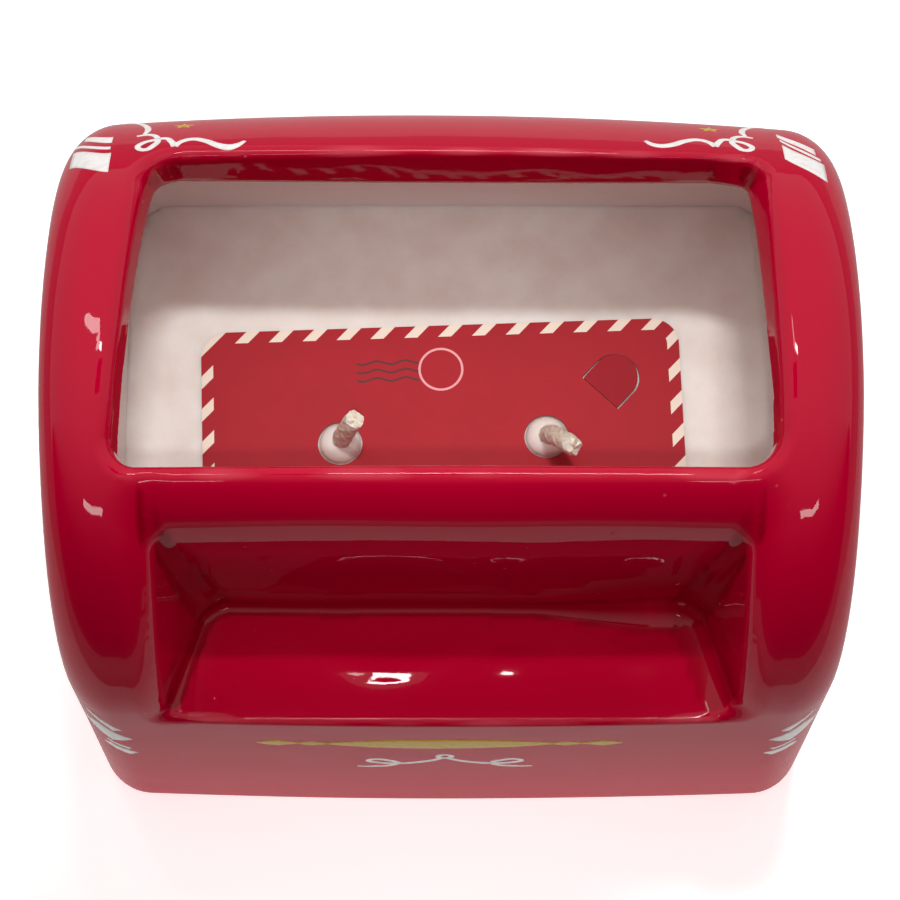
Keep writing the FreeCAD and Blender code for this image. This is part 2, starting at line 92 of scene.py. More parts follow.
def add_node(tree: bpy.types.NodeTree, kind: str, links: dict[Any, Any] | None = None,
             **settings: Any) -> bpy.types.Node:
    """Add a node with its settings, input values and links.

    Args:
        tree: Tree that takes the node.
        kind: Node type.
        links: Inputs to set or link, as feed takes them.
        settings: Properties of the node itself.

    Returns:
        The node.
    """
    node = tree.nodes.new(kind)
    for name, value in settings.items():
        setattr(node, name, value)
    feed(tree, node, links or {})
    return node


def spans(source: tuple[float, float] = (0.0, 1.0), target: tuple[float, float] = (0.0, 1.0)) -> dict[int, float]:
    """Limits of a range and of the range that it is mapped onto, by socket number."""
    return dict(enumerate((*source, *target), 1))


def geometry_tree(name: str, **inputs: str) -> bpy.types.NodeTree:
    """Start a geometry tree that gives a mesh.

    Args:
        name: Name for the tree.
        inputs: Kind of socket for each named input.

    Returns:
        The tree, with its inputs and its output.
    """
    tree = bpy.data.node_groups.new(name, "GeometryNodeTree")
    for title, kind in inputs.items():
        tree.interface.new_socket(name=title, in_out="INPUT", socket_type="NodeSocket" + kind)
    tree.interface.new_socket(name="Mesh", in_out="OUTPUT", socket_type="NodeSocketGeometry")
    return tree


def close_tree(tree: bpy.types.NodeTree, mesh: bpy.types.Node, finish: bpy.types.NodeSocket) -> None:
    """Smooth and dress the mesh of a geometry tree and hand it out.

    Args:
        tree: The tree.
        mesh: Node whose first output is the mesh.
        finish: Socket that gives the material.
    """
    soft = add_node(tree, "GeometryNodeSetShadeSmooth", {"Geometry": mesh})
    real = add_node(tree, "GeometryNodeRealizeInstances", {"Geometry": soft})
    dressed = add_node(tree, "GeometryNodeSetMaterial", {"Geometry": real, "Material": finish})
    add_node(tree, "NodeGroupOutput", {0: dressed})


def in_scene(name: str, data: Any) -> bpy.types.Object:
    """Put an object into the scene.

    Args:
        name: Name of the object.
        data: Its mesh, curve, lamp or camera.

    Returns:
        The object, at the origin.
    """
    thing = bpy.data.objects.new(name, data)
    bpy.context.scene.collection.objects.link(thing)
    return thing


def new_material(name: str) -> tuple[bpy.types.Material, bpy.types.NodeTree, bpy.types.Node]:
    """Start a node material.

    Args:
        name: Name for the finish.

    Returns:
        The material, its tree and its shader.
    """
    material = bpy.data.materials.new(name)
    material.use_nodes = True
    tree = material.node_tree
    return material, tree, tree.nodes["Principled BSDF"]


def rounded_max(first: np.ndarray, second: np.ndarray, radius: Any) -> np.ndarray:
    """Intersect two distance fields with a round edge.

    Args:
        first: Distances to one form.
        second: Distances to the other form.
        radius: Edge radius in millimetres, one number or one per point.

    Returns:
        Distances to what both forms share.
    """
    corner = np.hypot(np.maximum(first + radius, 0), np.maximum(second + radius, 0))
    return np.minimum(np.maximum(first, second), -radius) + corner


def rounded_min(first: np.ndarray, second: np.ndarray, radius: Any) -> np.ndarray:
    """Join two distance fields with a hollow fillet; arguments and result as for rounded_max."""
    return -rounded_max(-first, -second, radius)


def rounded_box(x: np.ndarray, y: np.ndarray, half_x: float, half_y: float, corner: float) -> np.ndarray:
    """Distances in plan to a rectangle with round corners.

    Args:
        x: Places across, from the middle.
        y: Places along, from the middle.
        half_x: Half of the width.
        half_y: Half of the length.
        corner: Corner radius.

    Returns:
        Distances, negative inside.
    """
    across = np.abs(x) - half_x + corner
    along = np.abs(y) - half_y + corner
    return np.hypot(np.maximum(across, 0), np.maximum(along, 0)) + np.minimum(np.maximum(across, along), 0) - corner


def ramp(value: np.ndarray, start: float, end: float) -> np.ndarray:
    """Share of the way from a start to an end, from 0 to 1."""
    return np.clip((value - start) / (end - start), 0, 1)


def waves(points: np.ndarray, length: float, seed: int) -> np.ndarray:
    """Smooth hand-made unevenness between about -1 and 1.

    Args:
        points: Places in millimetres.
        length: Typical wave length in millimetres.
        seed: Fixed seed for the directions.

    Returns:
        One height for each place.
    """
    dice = np.random.default_rng(seed)
    total = np.zeros(len(points))
    for _ in range(5):
        heading = dice.normal(size=3)
        heading *= 2 * math.pi / (length * dice.uniform(0.7, 1.6)) / np.linalg.norm(heading)
        total += np.sin(points @ heading + dice.uniform(0, 2 * math.pi))
    return total / 3.0


def spaced(*stops: tuple[float, float]) -> np.ndarray:
    """Grid lines whose spacing changes from run to run.

    Args:
        stops: Start and spacing of each run; the last pair's start ends the grid.

    Returns:
        The places of the lines.
    """
    runs = [np.linspace(start, end, max(1, round((end - start) / step)), endpoint=False)
            for (start, step), (end, _) in zip(stops, stops[1:])]
    return np.concatenate([*runs, [stops[-1][0]]])


def slope(form: Field, points: np.ndarray, step: float = 0.02) -> np.ndarray:
    """Gradient of a distance field.

    Args:
        form: The field.
        points: Places in millimetres.
        step: Half of the span that is measured over.

    Returns:
        One vector for each place.
    """
    reach = np.eye(3) * step
    return np.stack([(form(points + r) - form(points - r)) / (2 * step) for r in reach], axis=1)


def bend(form: Field, points: np.ndarray, step: float = 0.6) -> np.ndarray:
    """Sum of the two curvatures of a distance field, which is positive on edges and negative in hollows.

    Args:
        form: The field.
        points: Places on its surface in millimetres.
        step: Span that is measured over.

    Returns:
        One curvature for each place, in 1/mm.
    """
    reach = np.eye(3) * step
    return sum(form(points + r) + form(points - r) - 2 * form(points) for r in reach) / step ** 2


def settle(form: Field, points: np.ndarray, rounds: int, way: np.ndarray | None = None) -> np.ndarray:
    """Move points onto the surface of a distance field.

    Args:
        form: The field.
        points: Places near the surface.
        rounds: Number of steps.
        way: Direction to move each point along, instead of straight to the surface.

    Returns:
        Places on the surface.
    """
    for _ in range(rounds):
        lean = slope(form, points)
        along = lean if way is None else way
        step = form(points) / np.maximum((lean * along).sum(axis=1), 0.05)
        points = points - np.clip(step, -0.6, 0.6)[:, None] * along
    return points


def spread(points: np.ndarray, quads: np.ndarray) -> np.ndarray:
    """Mean place of each point's neighbours.

    Args:
        points: Places of a quad mesh.
        quads: Its faces.

    Returns:
        One place for each point.
    """
    ends = np.concatenate([quads[:, [i, (i + 1) % 4]] for i in range(4)])
    count = np.bincount(ends[:, 0], minlength=len(points))
    sums = [np.bincount(ends[:, 0], weights=points[ends[:, 1], k], minlength=len(points)) for k in range(3)]
    return np.stack(sums, axis=1) / np.maximum(count, 1)[:, None]


def surface_net(form: Field, lines: Sequence[np.ndarray], relax: int = 3) -> tuple[np.ndarray, np.ndarray]:
    """Skin a distance field with quads.

    Args:
        form: The field, negative inside.
        lines: Grid lines in x, y and z.
        relax: Rounds of evening out the net.

    Returns:
        Places in millimetres and faces that point outwards.
    """
    counts = [len(line) for line in lines]
    nodes = np.stack(np.meshgrid(*lines, indexing="ij"), axis=-1)
    value = form(nodes.reshape(-1, 3)).reshape(counts)
    inside = value < 0
    corners = {c: tuple(slice(o, o + n - 1) for o, n in zip(c, counts)) for c in product((0, 1), repeat=3)}
    filled = sum(inside[part].astype(int) for part in corners.values())
    mixed = (filled > 0) & (filled < 8)
    index = np.full(mixed.shape, -1)
    index[mixed] = np.arange(mixed.sum())
    total, hits = np.zeros((mixed.sum(), 3)), np.zeros(mixed.sum())
    for one, two in combinations(corners, 2):
        if sum(a != b for a, b in zip(one, two)) != 1:
            continue
        low, high = value[corners[one]][mixed], value[corners[two]][mixed]
        crossed = (low < 0) != (high < 0)
        share = np.where(crossed, low / np.where(crossed, low - high, 1), 0)[:, None]
        place = nodes[corners[one]][mixed] * (1 - share) + nodes[corners[two]][mixed] * share
        total += place * crossed[:, None]
        hits += crossed
    quads = []
    for axis in range(3):
        u, v = (axis + 1) % 3, (axis + 2) % 3
        near, far = [slice(1, -1)] * 3, [slice(1, -1)] * 3
        near[axis], far[axis] = slice(0, -1), slice(1, None)
        crossed = inside[tuple(near)] != inside[tuple(far)]
        start = np.argwhere(crossed)
        start[:, u] += 1
        start[:, v] += 1
        ring = []
        for du, dv in ((1, 1), (0, 1), (0, 0), (1, 0)):
            cell = start.copy()
            cell[:, u] -= du
            cell[:, v] -= dv
            ring.append(index[tuple(cell.T)])
        faces = np.stack(ring, axis=1)
        leaving = inside[tuple(start.T)]
        quads.append(np.where(leaving[:, None], faces, faces[:, ::-1]))
    faces = np.concatenate(quads)
    points = settle(form, total / hits[:, None], 4)
    for _ in range(relax):
        points = settle(form, 0.5 * points + 0.5 * spread(points, faces), 2)
    return settle(form, points, 3), faces


def mesh_piece(name: str, points: np.ndarray, faces: Any, material: bpy.types.Material,
               normals: np.ndarray | None = None, **values: np.ndarray) -> bpy.types.Object:
    """Make a smooth mesh object at the origin.

    Args:
        name: Piece name.
        points: Places in millimetres.
        faces: Faces as rows of point numbers.
        material: Its finish.
        normals: Shading normals, one for each point.
        values: Named numbers for each point, for the finish to read.

    Returns:
        The object, in the scene.
    """
    mesh = bpy.data.meshes.new(name)
    mesh.from_pydata((points * MM).tolist(), [], np.asarray(faces).tolist())
    mesh.shade_smooth()
    for key, numbers in values.items():
        layer = mesh.attributes.new(key, "FLOAT", "POINT")
        layer.data.foreach_set("value", numbers.astype(np.float32))
    if normals is not None:
        mesh.normals_split_custom_set_from_vertices(normals.tolist())
    mesh.materials.append(material)
    return in_scene(name, mesh)


@dataclass(frozen=True)
class RedGlaze:
    """Slip-cast earthenware, red glaze outside and white liner glaze inside, fired glossy.

    The glaze is thick and wavy, so reflections wander; it runs thin and pale on sharp edges,
    pools dark in hollows and has pinholes here and there.
    """

    red: str = "#BC002C"
    pooled: str = "#930019"
    thin: str = "#CB3A4C"
    liner: str = "#EDEAE6"
    biscuit: str = "#D8CCBD"
    wave: float = 9.0
    peel: float = 1.6
    pinhole: float = 7.0
    wear_span: tuple[float, float] = (0.32, 0.6)
    pool_span: tuple[float, float] = (-0.05, -0.35)
    pinhole_span: tuple[float, float] = (0.045, 0.025)
    liner_span: tuple[float, float] = (0.75, 0.55)
    swell_depth: float = 0.09
    skin_depth: float = 0.004
    pit_depth: float = 0.05
    haze_span: tuple[float, float] = (0.35, 0.75)
    haze: tuple[float, float] = (0.16, 0.34)
    biscuit_rough: float = 0.6
    liner_wander: float = 0.5
    gloss: float = 0.7

    def build(self) -> bpy.types.Material:
        """Material for the vessel, which reads the attributes lining, edge and foot."""
        material, tree, shader = new_material("glazed_earthenware")
        add = partial(add_node, tree)
        place = add("ShaderNodeTexCoord").outputs["Object"]
        edge = add("ShaderNodeAttribute", attribute_name="edge").outputs["Fac"]
        lining = add("ShaderNodeAttribute", attribute_name="lining").outputs["Fac"]
        foot = add("ShaderNodeAttribute", attribute_name="foot").outputs["Fac"]
        drift = add("ShaderNodeTexNoise", {"Vector": place, "Scale": 1 / (self.wave * MM), "Detail": 0.0})
        fine = add("ShaderNodeTexNoise", {"Vector": place, "Scale": 1 / (self.peel * MM)})
        thinning = add("ShaderNodeMath", {0: edge, 1: drift}, operation="MULTIPLY")
        worn = add("ShaderNodeMapRange", {"Value": thinning, **spans(self.wear_span)})
        pooling = add("ShaderNodeMapRange", {"Value": edge, **spans(self.pool_span)})
        pinholes = add("ShaderNodeTexVoronoi", {"Vector": place, "Scale": 1 / (self.pinhole * MM)})
        speck = add("ShaderNodeMapRange", {"Value": pinholes.outputs["Distance"], **spans(self.pinhole_span)})
        deep = add("ShaderNodeMix", {"Factor": pooling, COLOUR_A: linear(self.red), COLOUR_B: linear(self.pooled)},
                   data_type="RGBA")
        pale = add("ShaderNodeMix", {"Factor": worn, COLOUR_A: deep.outputs[MIXED], COLOUR_B: linear(self.thin)},
                   data_type="RGBA")
        dotted = add("ShaderNodeMix", {"Factor": speck, COLOUR_A: pale.outputs[MIXED], COLOUR_B: linear(self.thin)},
                     data_type="RGBA")
        wander = add("ShaderNodeMath", {0: fine, 1: self.liner_wander, 2: lining}, operation="MULTIPLY_ADD")
        inside = add("ShaderNodeMapRange", {"Value": wander, **spans(self.liner_span)})
        lined = add("ShaderNodeMix", {"Factor": inside, COLOUR_A: dotted.outputs[MIXED],
                                      COLOUR_B: linear(self.liner)}, data_type="RGBA")
        bare = add("ShaderNodeMix", {"Factor": foot, COLOUR_A: lined.outputs[MIXED], COLOUR_B: linear(self.biscuit)},
                   data_type="RGBA")
        haze = add("ShaderNodeMapRange", {"Value": drift, **spans(self.haze_span, self.haze)})
        rough = add("ShaderNodeMath", {0: foot, 1: self.biscuit_rough, 2: haze}, operation="MULTIPLY_ADD")
        swell = add("ShaderNodeBump", {"Height": drift, "Distance": self.swell_depth * MM})
        skin = add("ShaderNodeBump", {"Height": fine, "Distance": self.skin_depth * MM, "Normal": swell})
        pits = add("ShaderNodeBump", {"Height": speck, "Distance": self.pit_depth * MM, "Normal": skin}, invert=True)
        feed(tree, shader, {"Base Color": bare.outputs[MIXED], "Roughness": rough, "Normal": pits, "Coat Normal": pits,
                            "IOR": 1.5, "Specular IOR Level": 0.0, "Coat Weight": self.gloss, "Coat Roughness": 0.03})
        return material


@dataclass(frozen=True)
class CandleWax:
    """Poured soy wax: cream, cloudy, slightly granular, and lit from within near its surface."""

    cream: str = "#F3EEE7"
    cloud: str = "#E9E0D6"
    mottle: float = 6.0
    # Coarser than real wax crystals, so that it shows.
    grain: float = 0.8
    mottle_depth: float = 0.12
    grain_depth: float = 0.02
    glow_depth: float = 2.5
    cloud_span: tuple[float, float] = (0.35, 0.7)
    sheen: tuple[float, float] = (0.38, 0.58)

    def build(self) -> bpy.types.Material:
        """Material for the wax fill."""
        material, tree, shader = new_material("soy_wax")
        add = partial(add_node, tree)
        place = add("ShaderNodeTexCoord").outputs["Object"]
        cloudy = add("ShaderNodeTexNoise", {"Vector": place, "Scale": 1 / (self.mottle * MM), "Detail": 4.0})
        grain = add("ShaderNodeTexNoise", {"Vector": place, "Scale": 1 / (self.grain * MM)})
        blend = add("ShaderNodeMapRange", {"Value": cloudy, **spans(self.cloud_span)})
        tint = add("ShaderNodeMix", {"Factor": blend, COLOUR_A: linear(self.cream), COLOUR_B: linear(self.cloud)},
                   data_type="RGBA")
        rough = add("ShaderNodeMapRange", {"Value": grain, **spans(target=self.sheen)})
        swell = add("ShaderNodeBump", {"Height": cloudy, "Distance": self.mottle_depth * MM})
        skin = add("ShaderNodeBump", {"Height": grain, "Distance": self.grain_depth * MM, "Normal": swell})
        feed(tree, shader, {"Base Color": tint.outputs[MIXED], "Roughness": rough, "Normal": skin, "IOR": 1.44,
                            "Subsurface Weight": 0.35, "Subsurface Radius": (1.0, 0.72, 0.5),
                            "Subsurface Scale": self.glow_depth * MM})
        return material


@dataclass(frozen=True)
class WaxedCotton:
    """Braided cotton dipped in wax: amber and slick low down, dry white fibre at the cut tip."""

    soaked: str = "#E2D0B8"
    dry: str = "#F4EBD6"
    # Coarser than real fibre, so that it shows.
    fibre: float = 0.35
    fibre_depth: float = 0.04
    glow_depth: float = 0.8
    dry_span: tuple[float, float] = (0.955, 0.985)
    sheen: tuple[float, float] = (0.42, 0.85)

    def build(self) -> bpy.types.Material:
        """Material for the wicks, which reads the attribute along."""
        material, tree, shader = new_material("waxed_cotton_braid")
        add = partial(add_node, tree)
        place = add("ShaderNodeTexCoord").outputs["Object"]
        along = add("ShaderNodeAttribute", attribute_name="along").outputs["Fac"]
        fluff = add("ShaderNodeTexNoise", {"Vector": place, "Scale": 1 / (self.fibre * MM)})
        drying = add("ShaderNodeMapRange", {"Value": along, **spans(self.dry_span)})
        tint = add("ShaderNodeMix", {"Factor": drying, COLOUR_A: linear(self.soaked), COLOUR_B: linear(self.dry)},
                   data_type="RGBA")
        rough = add("ShaderNodeMapRange", {"Value": drying, **spans(target=self.sheen)})
        skin = add("ShaderNodeBump", {"Height": fluff, "Distance": self.fibre_depth * MM})
        feed(tree, shader, {"Base Color": tint.outputs[MIXED], "Roughness": rough, "Normal": skin,
                            "Subsurface Weight": 0.3, "Subsurface Radius": (1.0, 0.7, 0.45),
                            "Subsurface Scale": self.glow_depth * MM})
        return material


@dataclass(frozen=True)
class PrintedCard:
    """Coated board printed red with cream slanted border stripes, a postmark ring and wavy bars."""

    red: str = "#AC2B33"
    cream: str = "#F3E4D3"
    pink: str = "#F0A9AC"
    bars: str = "#6B3A3C"
    # Colour of the board's cut edges: the board's own tan darkened to paint shade in the cut gaps round the pull tab.
    board: str = "#8A5C4A"
    middle: tuple[float, float] = (-1.1, 0.0)
    turn: float = 2.0
    half_width: float = 35.25
    front: float = -15.3
    rear: float = 17.7
    corner: float = 4.0
    band: float = 1.75
    pitch: float = 5.0
    ring_place: tuple[float, float] = (0.0, 10.9)
    ring_radius: float = 3.15
    ring_half: float = 0.17
    stripe_phase: float = 0.24
    stripe_share: float = 0.39
    wave_turn: float = 1.5
    wave_height: float = 0.25
    row_spacing: float = 1.3
    row_half: float = 0.14
    row_middle: float = -7.8
    row_reach: float = 4.6
    row_limit: float = 1.1
    # Coarser than real board fibre, so that it shows.
    fibre: float = 0.5
    fibre_depth: float = 0.012
    wear: float = 9.0
    wear_span: tuple[float, float] = (0.3, 0.7)
    shade: tuple[float, float] = (0.94, 1.04)
    sheen: tuple[float, float] = (0.42, 0.55)
    shine: float = 0.12
    marked: bool = True

    def build(self) -> bpy.types.Material:
        """Material for the card, or for its pull tab where it is not marked."""
        material, tree, shader = new_material("printed_board" if self.marked else "printed_board_plain")
        add = partial(add_node, tree)
        coords = add("ShaderNodeTexCoord")
        facing = add("ShaderNodeSeparateXYZ", {0: coords.outputs["Normal"]})
        face = add("ShaderNodeMath", {0: facing.outputs["Z"], 1: 0.5}, operation="GREATER_THAN")
        fibre = add("ShaderNodeTexNoise", {"Vector": coords.outputs["Object"], "Scale": 1 / (self.fibre * MM)})
        wear = add("ShaderNodeTexNoise", {"Vector": coords.outputs["Object"], "Scale": 1 / (self.wear * MM)})
        shade = add("ShaderNodeMapRange", {"Value": wear, **spans(self.wear_span, self.shade)})
        ink = add("ShaderNodeVectorMath", {0: linear(self.red)[:3], "Scale": shade}, operation="SCALE").outputs[0]
        if self.marked:
            ink = self.marks(tree, coords.outputs["Object"], ink)
        # The sides take the darkened board colour, which paints shade in the cut gaps.
        sides = add("ShaderNodeMix", {"Factor": face, COLOUR_A: linear(self.board), COLOUR_B: ink}, data_type="RGBA")
        skin = add("ShaderNodeBump", {"Height": fibre, "Distance": self.fibre_depth * MM})
        rough = add("ShaderNodeMapRange", {"Value": wear, **spans(target=self.sheen)})
        feed(tree, shader, {"Specular IOR Level": self.shine, "Base Color": sides.outputs[MIXED], "Roughness": rough,
                            "Normal": skin})
        return material

    def marks(self, tree: bpy.types.NodeTree, place: bpy.types.NodeSocket,
              ink: bpy.types.NodeSocket) -> bpy.types.NodeSocket:
        """Lay the printed marks over the ground colour.

        Args:
            tree: Tree of the material.
            place: Object coordinates in metres.
            ink: Ground colour.

        Returns:
            Colour of the printed face.
        """
        add = partial(add_node, tree)
        turn = math.radians(self.turn)
        shift = (-self.middle[0] * math.cos(turn) - self.middle[1] * math.sin(turn),
                 self.middle[0] * math.sin(turn) - self.middle[1] * math.cos(turn), 0.0)
        flat = add("ShaderNodeMapping", {"Vector": place, "Location": shift, "Rotation": (0, 0, -turn),
                                         "Scale": (1 / MM, 1 / MM, 0)}).outputs[0]
        axes = add("ShaderNodeSeparateXYZ", {0: flat})
        centre = (0.0, (self.front + self.rear) / 2, 0.0)
        reach = (self.half_width - self.corner, (self.rear - self.front) / 2 - self.corner, 0.0)
        from_centre = add("ShaderNodeVectorMath", {0: flat, 1: centre}, operation="SUBTRACT")
        folded = add("ShaderNodeVectorMath", {0: from_centre}, operation="ABSOLUTE")
        beyond = add("ShaderNodeVectorMath", {0: folded, 1: reach}, operation="SUBTRACT")
        outer = add("ShaderNodeVectorMath", {0: beyond, 1: (0, 0, 0)}, operation="MAXIMUM")
        corner = add("ShaderNodeVectorMath", {0: outer}, operation="LENGTH")
        sides = add("ShaderNodeSeparateXYZ", {0: beyond})
        nearest = add("ShaderNodeMath", {0: sides, 1: sides.outputs[1]}, operation="MAXIMUM")
        within = add("ShaderNodeMath", {0: nearest, 1: 0.0}, operation="MINIMUM")
        depth = add("ShaderNodeMath", {0: corner.outputs["Value"], 1: within}, operation="ADD")
        band = add("ShaderNodeMath", {0: depth, 1: self.corner - self.band}, operation="GREATER_THAN")
        slant = add("ShaderNodeMath", {0: axes, 1: axes.outputs[1]}, operation="SUBTRACT")
        steps = add("ShaderNodeMath", {0: slant, 1: 1 / self.pitch, 2: self.stripe_phase}, operation="MULTIPLY_ADD")
        cycle = add("ShaderNodeMath", {0: steps}, operation="FRACT")
        stripe = add("ShaderNodeMath", {0: cycle, 1: self.stripe_share}, operation="LESS_THAN")
        striped = add("ShaderNodeMath", {0: band, 1: stripe}, operation="MULTIPLY")
        ring = add("ShaderNodeVectorMath", {0: flat, 1: (*self.ring_place, 0.0)}, operation="DISTANCE")
        ringed = add("ShaderNodeMath", {0: ring.outputs["Value"], 1: self.ring_radius, 2: self.ring_half},
                     operation="COMPARE")
        swing = add("ShaderNodeMath", {0: axes, 1: self.wave_turn}, operation="MULTIPLY")
        swung = add("ShaderNodeMath", {0: swing}, operation="SINE")
        rise = add("ShaderNodeMath", {0: swung, 1: self.wave_height, 2: axes.outputs[1]}, operation="MULTIPLY_ADD")
        level = add("ShaderNodeMath", {0: rise, 1: self.ring_place[1]}, operation="SUBTRACT")
        rows = add("ShaderNodeMath", {0: level, 1: self.row_spacing}, operation="DIVIDE")
        row = add("ShaderNodeMath", {0: rows}, operation="ROUND")
        off = add("ShaderNodeMath", {0: rows, 1: row, 2: self.row_half}, operation="COMPARE")
        few = add("ShaderNodeMath", {0: row, 1: 0.0, 2: self.row_limit}, operation="COMPARE")
        span = add("ShaderNodeMath", {0: axes, 1: self.ring_place[0] + self.row_middle, 2: self.row_reach},
                   operation="COMPARE")
        barred = add("ShaderNodeMath", {0: off, 1: few}, operation="MULTIPLY")
        bars = add("ShaderNodeMath", {0: barred, 1: span}, operation="MULTIPLY")
        for mask, colour in ((bars, self.bars), (ringed, self.pink), (striped, self.cream)):
            ink = add("ShaderNodeMix", {"Factor": mask, COLOUR_A: ink, COLOUR_B: linear(colour)},
                      data_type="RGBA").outputs[MIXED]
        return ink


@dataclass(frozen=True)
class PlainFinish:
    """One grained finish of a hidden fitting, such as tinned steel sheet or adhesive foam."""

    name: str
    colour: str
    grain: float
    depth: float
    roughness: float
    metallic: float = 0.0
    shade: tuple[float, float] = (0.85, 1.1)

    def build(self) -> bpy.types.Material:
        """Material with a fine grain in its colour and surface."""
        material, tree, shader = new_material(self.name)
        add = partial(add_node, tree)
        place = add("ShaderNodeTexCoord").outputs["Object"]
        grain = add("ShaderNodeTexNoise", {"Vector": place, "Scale": 1 / (self.grain * MM)})
        shade = add("ShaderNodeMapRange", {"Value": grain, **spans(target=self.shade)})
        tint = add("ShaderNodeVectorMath", {0: linear(self.colour)[:3], "Scale": shade}, operation="SCALE")
        skin = add("ShaderNodeBump", {"Height": grain, "Distance": self.depth * MM})
        feed(tree, shader, {"Base Color": tint, "Normal": skin, "Roughness": self.roughness,
                            "Metallic": self.metallic})
        return material


@dataclass
class Vessel:
    """Slip-cast vessel: an arched box with a crown opening, a blind letter chute and a foot ring."""

    half_width: float = 55.0
    half_depth: float = 44.0
    spring: float = 58.0
    edge: float = 7.0
    base_edge: float = 2.5
    side_bulge: float = 0.8
    front_bulge: float = 1.2
    rear_bulge: float = 2.3
    bulge_run: float = 15.0
    rear_skew: float = 0.009
    skew_span: tuple[float, float] = (0.0, 20.0)
    front_draw: float = 1.6
    wobble: float = 0.05
    wobble_length: float = 34.0
    hollow_half: float = 47.5
    hollow_radius: float = 36.5
    hollow_floor: float = 7.0
    hollow_corner: float = 6.0
    shelf_front: float = -16.6
    shelf_under: float = 45.4
    shelf_edge: float = 2.0
    mouth_left: float = -43.9
    mouth_right: float = 43.3
    mouth_skew: float = 0.0724
    mouth_front: float = -18.1
    mouth_rear: float = 28.3
    mouth_corners: tuple[float, float, float, float] = (5.0, 3.6, 3.7, 4.5)
    mouth_draft: tuple[float, float, float] = (0.13, 0.14, 0.3)
    mouth_foot: float = 2.6
    mouth_fillet: float = 1.5
    draft_across: tuple[float, float] = (36.0, 42.0)
    draft_along: tuple[float, float] = (-8.0, 26.0)
    draft_depth: float = 9.0
    rim: float = 2.2
    sharp_rim: float = 1.0
    sharp_along: tuple[float, float] = (8.0, 24.0)
    sharp_across: tuple[float, float] = (-50.0, 10.0)
    chute_back: float = -25.8
    back_lean: float = 2.1
    lean_start: float = 79.0
    lean_rise: float = 15.0
    chute_floor: float = 52.8
    chute_fall: float = 2.9
    chute_height: float = 38.0
    chute_low: tuple[float, float] = (34.7, 6.0)
    chute_high: tuple[float, float] = (40.0, 1.5)
    chute_corner: float = 3.4
    tight_corner: float = 1.8
    corner_start: float = 62.0
    corner_run: float = 18.0
    root: tuple[float, float] = (1.5, 3.0)
    root_span: tuple[float, float] = (12.0, 28.0)
    side_cosine: float = 0.96
    back_ripple: float = 0.2
    back_ripple_length: float = 36.0
    bed_ripple: float = 0.06
    bed_ripple_length: float = 26.0
    crest_bow: float = 0.02
    swells: tuple[tuple[float, ...], ...] = ((-9.0, -35.2, 10.0, 2.4, 0.49), (8.0, -34.6, 3.4, 1.7, 0.36),
                                             (27.0, -34.0, 5.0, 2.2, 0.34))
    lip_level: float = 57.0
    lip_run: float = 13.0
    lip_round: float = 0.9
    chute_round: float = 3.8
    flare: float = 1.9
    flare_span: tuple[float, float] = (37.0, 41.0)
    foot_margin: float = 9.0
    foot_rise: float = 1.5
    foot_corner: float = 6.0
    foot_edge: float = 0.8
    bare_span: tuple[float, float] = (0.25, 0.05)
    liner_front: float = -15.4
    glaze: RedGlaze = field(default_factory=RedGlaze)

    def outer(self, p: np.ndarray) -> np.ndarray:
        """Distances to the outside form, whose faces bow out between the corners."""
        x, y, z = p.T
        y = y + self.rear_skew * x * ramp(y, *self.skew_span)
        across = (x / self.half_width) ** 2
        bulge = self.front_bulge + (self.rear_bulge - self.front_bulge) * (0.5 + 0.5 * np.tanh(y / self.bulge_run))
        arch = np.hypot(y, np.maximum(z - self.spring, 0)) - self.half_depth + bulge * across
        draw = self.side_bulge * np.where(y < 0, self.front_draw, 1.0)
        sides = np.abs(x) - self.half_width + draw * (y / self.half_depth) ** 2
        wobble = self.wobble * (1 + waves(p, self.wobble_length, 3))
        return rounded_max(rounded_max(arch + wobble, sides + wobble, self.edge), -z, self.base_edge)

    def hollow(self, p: np.ndarray) -> np.ndarray:
        """Distances to the wax chamber under the crown."""
        x, y, z = p.T
        arch = np.hypot(y, np.maximum(z - self.spring, 0)) - self.hollow_radius
        room = rounded_max(arch, np.abs(x) - self.hollow_half, self.hollow_corner)
        room = rounded_max(room, self.hollow_floor - z, self.hollow_corner)
        shelf = np.maximum(y - self.shelf_front, self.shelf_under - z)
        return rounded_max(room, -shelf, self.shelf_edge)

    def mouth(self, p: np.ndarray) -> np.ndarray:
        """Distances to the shaft of the crown opening, which is out of square and tapers most at the rear right."""
        x, y, z = p.T
        y = y + self.rear_skew * x * ramp(y, *self.skew_span)
        middle = (self.mouth_front + self.mouth_rear) / 2
        left = self.mouth_left + self.mouth_skew * y
        rear_left, rear_right, front_left, front_right = self.mouth_corners
        corner = np.where(y > middle, np.where(x < 0, rear_left, rear_right), np.where(x < 0, front_left, front_right))
        plan = rounded_box(x - (self.mouth_right + left) / 2, y - middle, (self.mouth_right - left) / 2,
                           self.mouth_rear - middle, corner)
        front, rear, right = self.mouth_draft
        taper = front + (rear + right * ramp(x, *self.draft_across)) * ramp(y, *self.draft_along)
        deep = np.clip(-self.outer(p), 0, self.draft_depth)
        return np.maximum(plan + taper * deep, self.shelf_under + self.mouth_foot - z)

